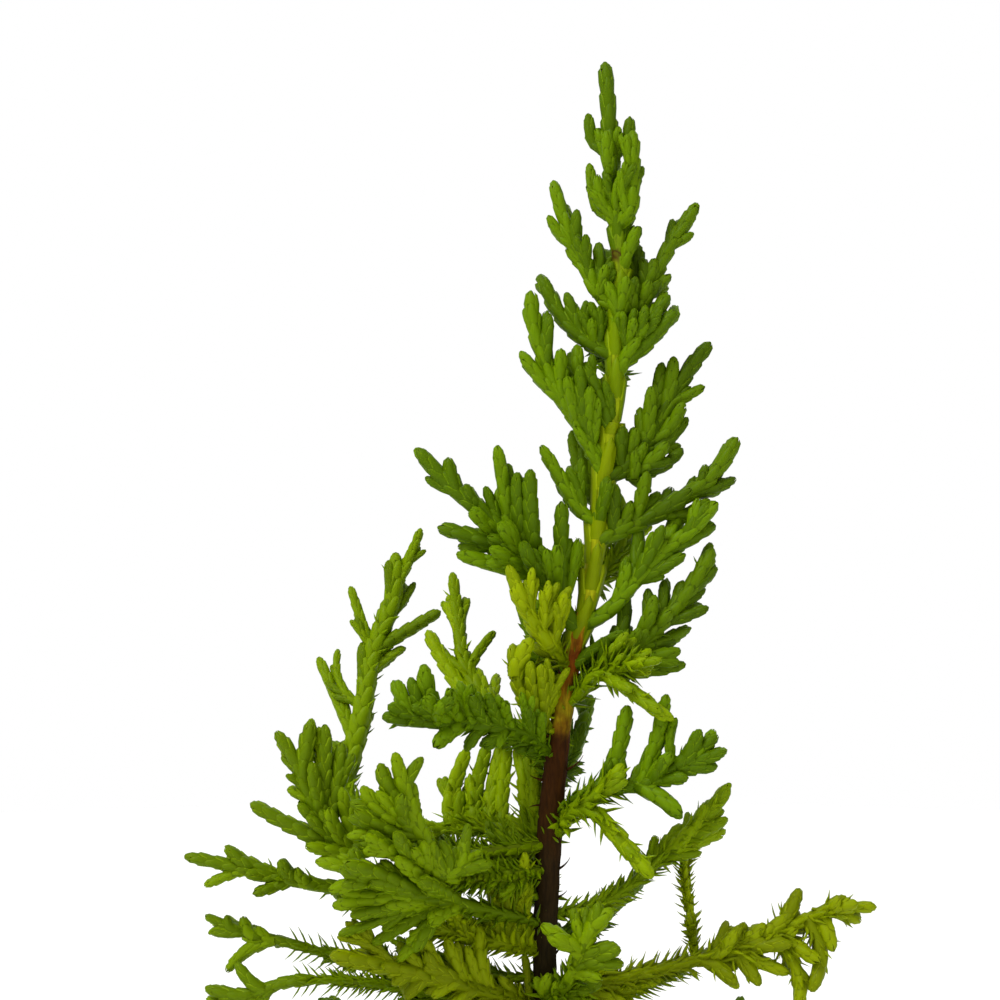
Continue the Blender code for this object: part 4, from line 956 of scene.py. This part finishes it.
    "low_left_fork": [(-31.9, 33, -31.7, 34.7, -3.6, 0.7), (-29.8, 32, -30.1, 34.6, -3, 0.9),
        (-31.6, 32.7, -33.4, 33, -3.4, 0.6), (-28.6, 32, -31.2, 30.1, -3.2, 0.75),
        (-30.4, 30.7, -31.8, 29, -3.4, 0.65), (-28.2, 32.2, -28.6, 33.6, -3.6, 0.7)],
    "lowest_left_fork": [(-29.2, 27.2, -30.8, 30, -6.2, 0.8), (-30.4, 26.2, -33.9, 27.4, -6.6, 0.8)],
    "low_left_blunt": [(-15.9, 31.7, -20.7, 32.5, -12.4, 0.45), (-16.4, 32.4, -19.9, 34, -11.6, 0.45),
        (-6.4, 27.7, -6.6, 33.7, -4.2, 0.95), (-10.4, 28.7, -12.7, 33.4, -8.4, 0.8),
        (-11.2, 27.7, -14.6, 32, -8.8, 0.85), (-8.2, 27.7, -9.8, 32.4, -6.4, 0.8),
        (-8.9, 28.7, -11.2, 26.4, -7.4, 0.85), (-7.4, 27.7, -8.2, 25.9, -6, 0.8),
        (-9.9, 29.2, -12, 29.4, -8.6, 0.9), (-13.4, 29.2, -15.2, 27.7, -10, 0.8),
        (-1.4, 26.7, -2, 31, -0.6, 0.5), (-11.9, 29.4, -13.9, 26.2, -8.2, 0.9),
        (-6.9, 28.2, -7.8, 31.7, -5.2, 0.7)],
    "right_8": [(7.4, 42, 9.6, 40, -8.6, 0.9), (6.6, 42.7, 8.4, 41.4, -7.6, 0.8)],
    "right_6": [(6.8, 58, 8.8, 57.2, -7.4, 0.75)],
}

# Where the stems of these sprays show on their way from the stem to their tip, across and up
COURSES = {
    "left_1": [(4.6, 98.7), (3.1, 101.7), (1.8, 104.7)],
    "left_2": [(2.5, 93.5), (0.8, 95.9)],
    "left_3": [(4.1, 83.2), (1.6, 86.7), (-0.4, 91.2), (-1.2, 94.7)],
    "left_5": [(-0.4, 69.7), (-3.4, 72.2), (-6.4, 75.2), (-8.9, 77.2), (-11.4, 79.7)],
    "left_8_behind": [(-5.9, 55), (-8, 59.4), (-8.5, 62.7), (-8.8, 66.2)],
    "left_9_behind": [(-18.2, 54.7), (-17.7, 58.2), (-16.8, 62.2), (-15, 65.7)],
    "left_10": [(-2.4, 53), (-6.4, 53.9), (-11.4, 54.1)],
    "low_left_rising": [(-17.4, 41.4), (-20.9, 42.4), (-23.3, 45.9), (-24.4, 49.4)],
    "low_left_long": [(-6.6, 38.3), (-10.4, 38.1), (-14.4, 37.4), (-21.4, 37.4), (-24.4, 38.1),
        (-29.4, 39.3)],
    "right_1": [(9.8, 96.2), (11.3, 99.2), (12.6, 101.7), (14, 103.7)],
    "right_2": [(10.4, 82), (12, 85.2), (13.6, 88), (15.1, 90.1)],
    "right_3": [(10.8, 74.5), (13.6, 76.2), (16.1, 77.9), (17.8, 79.8)],
    "right_4": [(9.4, 68.5), (12.1, 71.5), (14.6, 72.9)],
    "right_5": [(6.1, 59.7), (9.6, 61.9), (12.1, 64.2), (14.6, 67.2), (16.1, 69.6)],
    "right_6": [(5.4, 59.4), (7.6, 57.9), (9.8, 56.2)],
    "right_7": [(3.1, 46.5), (5.6, 47.2), (9.6, 47.7), (12.1, 48.6)],
    "right_8": [(2.4, 45.2), (4.6, 45.4), (6.4, 43.9), (8.6, 41)],
    "right_9_behind": [(4.6, 35.3), (7.6, 36.8), (9.6, 38.4), (12.4, 41), (15.6, 44.4)],
    "low_right": [(5.6, 27.9), (9.6, 28.7), (15.6, 30.2), (19.6, 31.6), (23.6, 33.1), (26.6, 34.5),
        (29.6, 35.5)],
}

# The sprays that the stem carries at the back, and the lowest tier: foot height, bearing in degrees from
# the right and counted towards the back, reach, rise
BACK_SPRAYS = [(88.5, 84, 9.0, 7.5), (79.5, 96, 10.0, 8.0), (68.0, 66, 11.0, 7.0), (58.5, 112, 13.0, 7.5),
               (48.6, 74, 15.0, 7.0), (36.2, 100, 17.0, 6.0), (32.0, 52, 20.0, 7.0)]
LOWEST_TIER = [(20.6, 12, 24.0, 3.5), (19.4, 64, 21.0, 4.5), (18.0, 118, 22.0, 4.0), (20.0, 164, 24.0, 5.0),
               (17.0, 209, 26.0, 6.5), (18.4, 254, 20.0, 3.0), (16.2, 312, 23.0, 4.5)]
GROWN_TINTS = ("mid", "deep", "fresh")
GROWN_RADIUS = 0.85
GROWN_BOW = 0.09  # as a share of its reach
GROWN_AWL = 0.4
GROWN_CORDS = 4
GROWN_FROM = 0.28  # the shares of the spray's stem between which its cords stand
GROWN_TO = 0.9
GROWN_TURN = 0.75  # how far they may turn up or down from its sides
GROWN_OPENING = (34, 48)
GROWN_LIFT = 0.35  # how much they rise beside that
GROWN_LENGTH = 0.46  # as a share of the stem's length at its foot
GROWN_LOSS = 0.3  # and so much less at its tip
GROWN_VARIATION = (0.85, 1.15)
GROWN_THICKNESS = (0.8, 0.95)  # as a share of the stem's radius
SHORTEST_GROWN = 2.5

# How limbs leave what carries them, and how they keep clear of each other
CORD_BEND = 0.12
CORD_AWL = 0.25  # the share of a cord that has sharp leaves, on a spray that has more than SHADED of them
SHADED = 0.5
ROOT_IN_BOUGH = 0.4  # a spray starts this share of a bough's step inside the bough
ROOT_BEND = 1.6  # a spray's stem leaves its carrier on a bend as long as this many of its radii
PARTS_BELOW = 1.4  # a cord parts from its spray's stem this far below the place where its foot shows
SAMPLE = 0.4  # the distance between the balls that stand for a limb
PRESSED = -0.5  # side cords grow into each other by this much, as they do where they are crowded
ROOTED_TO = 1.9  # nearer to its foot than this, a cord may run into another
RIM = np.array([(math.cos(math.pi * k / 4), math.sin(math.pi * k / 4)) for k in range(8)])
WIDEST_DISC = 1.6
OUTLINE_ALLOWANCE = 0.25  # a cord may show beside the photograph's shoots by this much
PICTURE_FOOT = 26.4  # the photograph shows nothing below this height


def seat_on_bough(path, end, radius):
    """Where a spray of this radius starts, just clear of its bough's end."""
    direction = (path[-1] - path[-2]).normalized()
    run = (end - path[-1]).normalized()
    return path[-1] + direction * (SEAT + radius * direction.cross(run).length)


def seen(points):
    """Across and up of points as they show from the front, and how much smaller things look there."""
    points = np.asarray(points, float)
    nearer = (EYE_DISTANCE + points[:, 1]) / EYE_DISTANCE
    eye = np.array([EYE_ACROSS, EYE_HEIGHT])
    return eye + (points[:, [0, 2]] - eye) / nearer[:, None], 1 / nearer


def along(path, share):
    """The point at this share of a path, and the path's direction there."""
    reached = min(share, 0.999) * (len(path) - 1)
    i = int(reached)
    return path[i].lerp(path[i + 1], reached - i), (path[i + 1] - path[i]).normalized()


def shown_stem(start, tip, drawn, course):
    """A spray's stem from start to tip, on one smooth line past the places where it shows."""
    count = len(course) + 1
    whole = bend(start, drawn, tip, count)
    corners = [start, *(place(a, whole[i + 1].y, u) for i, (a, u) in enumerate(course)), tip]
    for _ in range(3):
        cut = [corners[0]]
        for a, b in zip(corners, corners[1:]):
            cut += [a.lerp(b, 0.25), a.lerp(b, 0.75)]
        corners = cut + [corners[-1]]
    lengths = np.append(0, np.cumsum([(b - a).length for a, b in zip(corners, corners[1:])]))
    at = np.linspace(0, lengths[-1], math.ceil(lengths[-1] / LINE_STEP) + 1)
    axes = [np.interp(at, lengths, [c[axis] for c in corners]) for axis in range(3)]
    return [Vector([float(value) for value in point]) for point in zip(*axes)]


def shown_cord(path, foot, tip):
    """A cord that parts from its spray's stem, passes where its foot shows and ends at its tip."""
    shown, _ = seen(path)
    nearest = int(np.argmin(np.linalg.norm(shown - np.array(foot), axis=1)))
    root = path[max(nearest - round(PARTS_BELOW / LINE_STEP), 0)]
    drawn = place(foot[0], path[nearest].y, foot[1])
    return bend(root, drawn, tip, max(3, math.ceil((tip - root).length / LINE_STEP)))


def cord_path(root, direction, tip):
    """A cord leaves along its spray and bends away from it."""
    run = tip - root
    lean = direction - run * (direction.dot(run) / run.length_squared)
    steps = max(3, math.ceil(run.length / LINE_STEP))
    return bend(root, (root + tip) / 2 + lean * run.length * CORD_BEND, tip, steps)


class Crown:
    """The limbs placed so far, as balls along their middles, so that a new one can keep clear of the others
    and behind or in front of what shows of them."""

    def __init__(self):
        self.middles = np.zeros((0, 3))
        self.radii = np.zeros(0)
        self.owners = np.zeros(0, int)
        self.names = {}
        self.discs = np.zeros((0, 2))
        self.disc_radii = np.zeros(0)

    def number(self, owner):
        """Each owner's name as a number."""
        return self.names.setdefault(owner, len(self.names))

    def balls(self, path, radius):
        """The middles of balls along a limb, their radii and each one's share of its length."""
        points = np.array(path)
        steps = np.linalg.norm(np.diff(points, axis=0), axis=1)
        reach = np.append(0, np.cumsum(steps))
        at = np.linspace(0, reach[-1], max(2, math.ceil(reach[-1] / SAMPLE)) + 1)
        middles = np.stack([np.interp(at, reach, points[:, axis]) for axis in range(3)], axis=1)
        shares = at / reach[-1]
        return middles, radius * (1 - CORD_TAPER * shares), shares

    def free_share(self, owner, path, radius):
        """The share of this limb, from its start, that keeps clear of what other owners hold. Its first
        stretch may stand among the feet of the limbs beside it."""
        middles, radii, shares = self.balls(path, radius)
        around = radius + self.radii + PRESSED
        near = (self.middles > middles.min(axis=0) - around[:, None]).all(axis=1)
        near &= (self.middles < middles.max(axis=0) + around[:, None]).all(axis=1)
        near &= self.owners != self.number(owner)
        gaps = np.linalg.norm(middles[:, None] - self.middles[near][None], axis=2)
        gaps -= radii[:, None] + self.radii[near][None] + PRESSED
        crowded = (gaps < 0).any(axis=1) & (np.arange(len(middles)) * SAMPLE >= ROOTED_TO)
        first = np.flatnonzero(crowded)
        return shares[max(first[0] - 1, 0)] if len(first) else 1.0

    def hidden_share(self, path, radius):
        """The share of this limb, from its start, that doesn't show beside the shoots of the photograph."""
        middles, radii, shares = self.balls(path, radius)
        flat, smaller = seen(middles)
        rims = flat[:, None] + RIM[None] * (radii * smaller)[:, None, None]
        near = (self.discs > rims.min(axis=(0, 1)) - WIDEST_DISC).all(axis=1)
        near &= (self.discs < rims.max(axis=(0, 1)) + WIDEST_DISC).all(axis=1)
        away = np.linalg.norm(rims[:, :, None] - self.discs[near][None, None], axis=3)
        covered = (away < self.disc_radii[near] + OUTLINE_ALLOWANCE).any(axis=2)
        beside = ~(covered | (rims[..., 1] < PICTURE_FOOT)).all(axis=1)
        first = np.flatnonzero(beside)
        return shares[max(first[0] - 1, 0)] if len(first) else 1.0

    def room(self, owner, path, radius):
        """The share of this limb that can stay."""
        return min(self.free_share(owner, path, radius), self.hidden_share(path, radius))

    def add(self, owner, path, radius, shows):
        """One more limb. Where it shows, others may show in front of it or behind it."""
        middles, radii, _ = self.balls(path, radius)
        self.middles = np.vstack([self.middles, middles])
        self.radii = np.append(self.radii, radii)
        self.owners = np.append(self.owners, np.full(len(middles), self.number(owner)))
        if shows:
            flat, smaller = seen(middles)
            self.discs = np.vstack([self.discs, flat])
            self.disc_radii = np.append(self.disc_radii, radii * smaller)


def grown_cords(name, path, radius):
    """Cords by rule for a spray that is mostly hidden. They turn round its stem and grow shorter to its
    tip."""
    dice = random.Random(name)
    run = path[-1] - path[0]
    side = run.cross(UP).normalized()
    over = side.cross(run).normalized()
    cords = []
    for i in range(GROWN_CORDS):
        share = GROWN_FROM + (GROWN_TO - GROWN_FROM) * i / GROWN_CORDS
        root, direction = along(path, share)
        turn = math.pi * (i % 2) + dice.uniform(-GROWN_TURN, GROWN_TURN)
        opening = math.radians(dice.uniform(*GROWN_OPENING))
        out = side * math.cos(turn) + over * (GROWN_LIFT + math.sin(turn))
        heading = direction * math.cos(opening) + out.normalized() * math.sin(opening)
        length = run.length * (GROWN_LENGTH - GROWN_LOSS * share) * dice.uniform(*GROWN_VARIATION)
        cord = cord_path(root, direction, root + heading * length)
        cords.append((cord, radius * dice.uniform(*GROWN_THICKNESS)))
    return cords


def rooted(path, root, radius):
    """The same path, but starting inside the limb that carries it and leaving it on a smooth bend."""
    joint = min(int(ROOT_BEND * radius / LINE_STEP) + 1, len(path) - 2)
    steps = math.ceil((path[joint] - root).length / LINE_STEP) + 1
    return bend(root, path[0], path[joint], steps) + path[joint + 1:]


# A shoot is a spray's stem or one of its cords: what it belongs to, its bend, its radius, the share of it
# that has sharp leaves, and how far from the spray's own stem it stands in the order of branching
Shoot = namedtuple("Shoot", "spray name path radius awl order")
shoots = []
crown = Crown()


def keep(shoot):
    """This shoot is in the crown, and what shows of it is meant to show."""
    shoots.append(shoot)
    crown.add(shoot.name, shoot.path, shoot.radius, True)


stem_path = [stem_middle(h) for h in np.arange(0, STEM_TOP, 1.0)]
for i in range(len(stem_path) - 1):
    crown.add("stem", stem_path[i:i + 2], between(STEM_RADIUS, stem_path[i].z), True)
for bough in BOUGHS:
    crown.add(bough.name, bough_ends[bough.name], bough.radius, True)

tint_of = {}
laid = []
for spray in SPRAYS:
    tip = place(*spray.tip)
    if spray.foot in bough_ends:
        start = seat_on_bough(bough_ends[spray.foot], tip, spray.radius)
        root = bough_ends[spray.foot][-1].lerp(bough_ends[spray.foot][-2], ROOT_IN_BOUGH)
    else:
        start = seat_on_stem(spray.foot, tip, spray.radius, spray.bow)
        root = stem_middle(spray.foot - spray.radius)
    laid.append((spray.name, root, start, tip, spray.bow, spray.radius, spray.awl,
                 CORDS.get(spray.name, [])))
    tint_of[spray.name] = spray.tint
for group, rows in (("back", BACK_SPRAYS), ("lowest", LOWEST_TIER)):
    for i, (foot, bearing, reach, rise) in enumerate(rows):
        turn = math.radians(bearing)
        tip = stem_middle(foot) + Vector((math.cos(turn) * reach, math.sin(turn) * reach, rise))
        start = seat_on_stem(foot, tip, GROWN_RADIUS, reach * GROWN_BOW)
        laid.append((f"{group}_{i + 1}", stem_middle(foot - GROWN_RADIUS), start, tip, reach * GROWN_BOW,
                     GROWN_RADIUS, GROWN_AWL, None))
        tint_of[f"{group}_{i + 1}"] = GROWN_TINTS[i % len(GROWN_TINTS)]
for name, root, start, tip, bow, radius, awl, cords in laid:
    drawn = hanging_middle(start, tip, bow)
    if name in COURSES:
        fine = shown_stem(start, tip, drawn, COURSES[name])
    else:
        fine = bend(start, drawn, tip, math.ceil((tip - start).length / LINE_STEP))
    shoots.append(Shoot(name, name, rooted(fine, root, radius), radius, awl, 0))
    crown.add(name, fine, radius, True)
    if cords is None:
        made = grown_cords(name, bend(start, drawn, tip, SPRAY_STEPS), radius)
    else:
        made = [(shown_cord(fine, (across, up), place(tip_across, back, tip_up)), thick)
                for across, up, tip_across, tip_up, back, thick in cords]
    for i, (path, thick) in enumerate(made):
        if name.startswith("back_"):
            path = path[:round(len(path) * crown.hidden_share(path, thick))]
            if len(path) * LINE_STEP < SHORTEST_GROWN:
                continue
        keep(Shoot(name, f"{name}_cord_{i}", path, thick, CORD_AWL if awl > SHADED else 0.0, 1))


def grow(spray, name, parent, path_to, root, tip, radius, awl, order, shortest):
    """One more side cord, cut short where another limb is in its way or where it would show beside the
    shoots of the photograph, and left out where it would be too short."""
    path = path_to(tip)
    free = crown.room(parent, path, radius)
    if free < 1:
        end, _ = along(path, free)
        if (end - root).length < shortest + radius:
            return
        path = path_to(end)
        if crown.room(parent, path, radius) < 1:
            return
    crown.add(name, path, radius, False)
    shoots.append(Shoot(spray, name, path, radius, awl, order))


# Shoots in front of the stem where the photograph shows them: the height of the foot, where the tip shows
# across, how far behind the stem it is and where it shows up, and the radius
FRONT_SHOOTS = [
    (92.6, (8.3, -2.6, 98.6), 0.85), (83.0, (4.2, -3.0, 89.6), 0.85), (83.6, (6.6, -2.2, 87.0), 0.6),
    (73.2, (6.7, -2.4, 78.2), 0.8), (78.4, (3.0, -1.6, 83.6), 0.7), (88.2, (9.6, -1.8, 92.6), 0.8),
    (103.2, (4.9, -1.4, 107.2), 0.7), (98.6, (9.4, -1.6, 103.6), 0.75), (59.0, (8.0, -2.6, 63.0), 0.7),
    (108.6, (5.4, -0.7, 113.4), 0.8), (108.4, (7.5, -0.7, 113.6), 0.8), (107.8, (6.5, -1.3, 112.6), 0.9),
    (110.2, (5.2, -0.4, 113.4), 0.75), (104.6, (6.0, -1.6, 108.4), 0.7), (103.8, (7.2, -1.8, 107.6), 0.7)]
for i, (foot, tip, radius) in enumerate(FRONT_SHOOTS):
    keep(Shoot("left_1", f"front_shoot_{i}", cord_path(stem_middle(foot), UP, place(*tip)), radius, 0.0, 1))

# Short shoots straight from the stem, by turns round its sides and its back
GOLDEN_TURN = math.radians(137.5)
STEM_SHOOTS_FROM = 22
STEM_SHOOTS_TO = 107
STEM_SHOOT_SPACING = 1.9
STEM_SHOOT_OPENING = (26, 48)
STEM_SHOOT_LENGTH = (2.6, 5.4)
STEM_SHOOT_RADIUS = (0.66, 0.85)
SHORTEST_STEM_SHOOT = 2.2
STEM_SHOOT_AWL = 0.8  # the share of it that has sharp leaves, below this height
SHADED_BELOW = GREEN_FROM + 4
FRONT = -0.15  # none stands where the sine of its turn is below this
for i in range(int((STEM_SHOOTS_TO - STEM_SHOOTS_FROM) / STEM_SHOOT_SPACING)):
    height = STEM_SHOOTS_FROM + i * STEM_SHOOT_SPACING
    dice = random.Random(f"stem shoot {i}")
    turn = GOLDEN_TURN * i
    if math.sin(turn) < FRONT:
        continue
    opening = math.radians(dice.uniform(*STEM_SHOOT_OPENING))
    root = stem_middle(height)
    out = math.sin(opening)
    heading = Vector((math.cos(turn) * out, math.sin(turn) * out, math.cos(opening)))
    tip = root + heading * (dice.uniform(*STEM_SHOOT_LENGTH) + between(STEM_RADIUS, height) / out)
    owner = min(laid, key=lambda row: (row[2] - root).length)[0]
    grow(owner, f"stem_shoot_{i}", "stem", lambda end: cord_path(root, UP, end), root, tip,
         dice.uniform(*STEM_SHOOT_RADIUS), 0.0 if height > SHADED_BELOW else STEM_SHOOT_AWL, 1,
         SHORTEST_STEM_SHOOT)

# Then side cords fill out each spray and bough. A fill is the order of the shoots that carry it, how
# closely and from where to what share of the carrier its cords stand, their opening, their share of the
# carrier's length, the longest and the shortest.
Fill = namedtuple("Fill", "order spacing first last opening share longest shortest")
FILLS = [Fill(0, 0.7, 1.0, 0.86, (12, 30), 0.42, 6.5, 2.4), Fill(1, 0.9, 0.6, 0.6, (8, 22), 0.62, 5.0, 1.8),
         Fill(0, 0.8, 0.7, 0.9, (24, 46), 0.24, 3.0, 1.6), Fill(1, 1.2, 0.9, 0.7, (20, 36), 0.4, 2.8, 1.6)]
SIDE_CORD_FOOT = 1.4  # added to every side cord's length
SIDE_CORD_VARIATION = (0.7, 1.1)
SIDE_CORD_THICKNESS = (0.82, 0.98)  # as a share of its carrier's radius
WIDEST_CARRIER = 0.95  # a thicker one carries cords that are no thicker
SIDE_CORD_AWL = 0.65
FRONTMOST = -0.1  # a direction more to the front than this is turned to the back


def side_cords(shoot, fill):
    """Side cords on a shoot: each one's name, root, direction, tip, radius and share of sharp leaves. They
    turn all round it, but only to the back where its front is set out by what the photograph shows."""
    dice = random.Random(f"{shoot.name} side cords {fill.spacing}")
    whole = sum((b - a).length for a, b in zip(shoot.path, shoot.path[1:]))
    run = (shoot.path[-1] - shoot.path[0]).normalized()
    side = run.cross(UP if abs(run.z) < 0.9 else Vector((1, 0, 0))).normalized()
    over = side.cross(run)
    reach = fill.first
    while reach < whole * fill.last:
        share = reach / whole
        root, direction = along(shoot.path, share)
        turn = dice.uniform(0, 2 * math.pi)
        opening = math.radians(dice.uniform(*fill.opening))
        out = side * math.cos(turn) + over * math.sin(turn)
        if shoot.spray in CORDS and out.y < FRONTMOST:
            out = -out
        heading = direction * math.cos(opening) + out * math.sin(opening)
        length = min(SIDE_CORD_FOOT + fill.share * whole * (1 - share), fill.longest)
        length *= dice.uniform(*SIDE_CORD_VARIATION)
        radius = min(shoot.radius, WIDEST_CARRIER) * dice.uniform(*SIDE_CORD_THICKNESS)
        awl = 0.0 if share > shoot.awl else SIDE_CORD_AWL
        yield (f"{shoot.name}_{fill.spacing}_{reach:.1f}", root, direction,
               root + heading * (length + shoot.radius), radius, awl)
        reach += fill.spacing


carried = {spray.foot: spray.name for spray in SPRAYS if spray.foot in bough_ends}
limbs = [s for s in shoots if s.order == 0 and not s.name.startswith(("tip_", "crown_"))]
for bough in BOUGHS:
    limbs.append(Shoot(carried.get(bough.name, "left_10"), bough.name, bough_ends[bough.name], bough.radius,
                       1, 0))
for fill in FILLS:
    for shoot in limbs if fill.order == 0 else [s for s in shoots if s.order == fill.order]:
        for name, root, direction, tip, radius, awl in side_cords(shoot, fill):
            grow(shoot.spray, name, shoot.name, lambda end: cord_path(root, direction, end), root, tip,
                 radius, awl, fill.order + 1, fill.shortest)

# Twigs and leaves
# The twig inside each shoot is green wood, all but hidden. Scale leaves cover it, and sharp leaves take
# their place on the inner share of low and shaded shoots and stand scattered on the rest of these.
SCALE_SPACING = {"upper": 0.95, "lower": 0.78, "lowest": 0.85}  # by the height at which the spray starts
UPPER_FROM = 58.0
LOWER_FROM = 30.0
USUAL_RADIUS = 0.85  # the spacing is that of a cord this thick
SPACING_POWER = 0.6  # and grows with its radius to this power
LIGHTER_SHARE = 0.5  # so many of the shoots have the lighter body
ALL_SCALES = 0.15  # a shoot with no more than this share of sharp leaves has scale leaves from its foot
SLIM_FROM = 0.3  # a spray's stem with this share of sharp leaves or more is slim at its foot
SLIM_FOOT = 0.4
FULL_FOOT = 0.9
TWIG_CORNERS = 8
TWIG_STEP = 1.1
SHORTEST_TWIG = 0.6
OVERLAP = 0.5  # twig and scale leaves reach this far across the place where sharp leaves give way
AWL_START = 0.45
THIN_SHOOT = 0.7  # below this radius the sharp leaves are smaller too
SCATTERED = 0.4
SCATTERED_SPACING = 1.3  # and these two are shares of what the inner ones have
SCATTERED_LENGTH = 0.6
SLOTS = {"twigs": "green_wood", "scale_leaves": "scale_leaves", "sharp_leaves": "sharp_leaves"}
heaps = {(kind, tint, level): Heap() for kind in SLOTS for tint in TINTS for level in SCALE_SPACING}
foot_of = {name: start.z for name, _, start, *_ in laid}
level_of = {name: "upper" if foot > UPPER_FROM else "lower" if foot > LOWER_FROM else "lowest"
            for name, foot in foot_of.items()}
for shoot in shoots:
    dice = random.Random(shoot.name + " leaves")
    line = set_out(shoot.path, dice.uniform(0, math.pi / 2))
    slim = shoot.order == 0 and shoot.awl >= SLIM_FROM
    radius_at = thickness(line, shoot.radius, SLIM_FOOT if slim else FULL_FOOT, BLUNT_END)

    def twig_radius_at(reach):
        return radius_at(reach) * TWIG_SHARE

    level = level_of[shoot.spray]
    twigs, scales, awls = (heaps[kind, tint_of[shoot.spray], level] for kind in SLOTS)
    whole = line.reach[-1]
    bare = shoot.awl * whole if shoot.awl > ALL_SCALES else 0
    for heap, low, high in ((twigs, 0, min(bare + OVERLAP, whole)), (scales, bare, whole)):
        if high - low > SHORTEST_TWIG:
            heap.add(*sweep(line, twig_radius_at, TWIG_CORNERS, TWIG_STEP, low, high), BODY)
    spacing = SCALE_SPACING[level] * (shoot.radius / USUAL_RADIUS) ** SPACING_POWER
    lay_scales(scales, line, shoot.radius, radius_at, max(bare - OVERLAP, 0), spacing, dice,
               dice.random() < LIGHTER_SHARE)
    if bare:
        share = min(shoot.radius / THIN_SHOOT, 1)
        finish_number = LIGHTER if dice.random() < LIGHTER_SHARE else BODY
        starts = np.arange(AWL_START, bare, AWL_SPACING * share)
        lay_awls(awls, line, twig_radius_at, starts, AWL_LENGTH * share, dice, finish_number)
        starts = np.arange(bare, whole - 2 * AWL_SPACING, AWL_SPACING * SCATTERED_SPACING)
        lay_awls(awls, line, radius_at, starts, AWL_LENGTH * SCATTERED_LENGTH, dice, LIGHTER, SCATTERED)

for (kind, tint, level), heap in heaps.items():
    if heap.count:
        names = [name for name in foot_of if tint_of[name] == tint and level_of[name] == level]
        make_piece(f"{kind}_{tint}_{level}", heap, leaf_finishes[tint], SLOTS[kind], names)
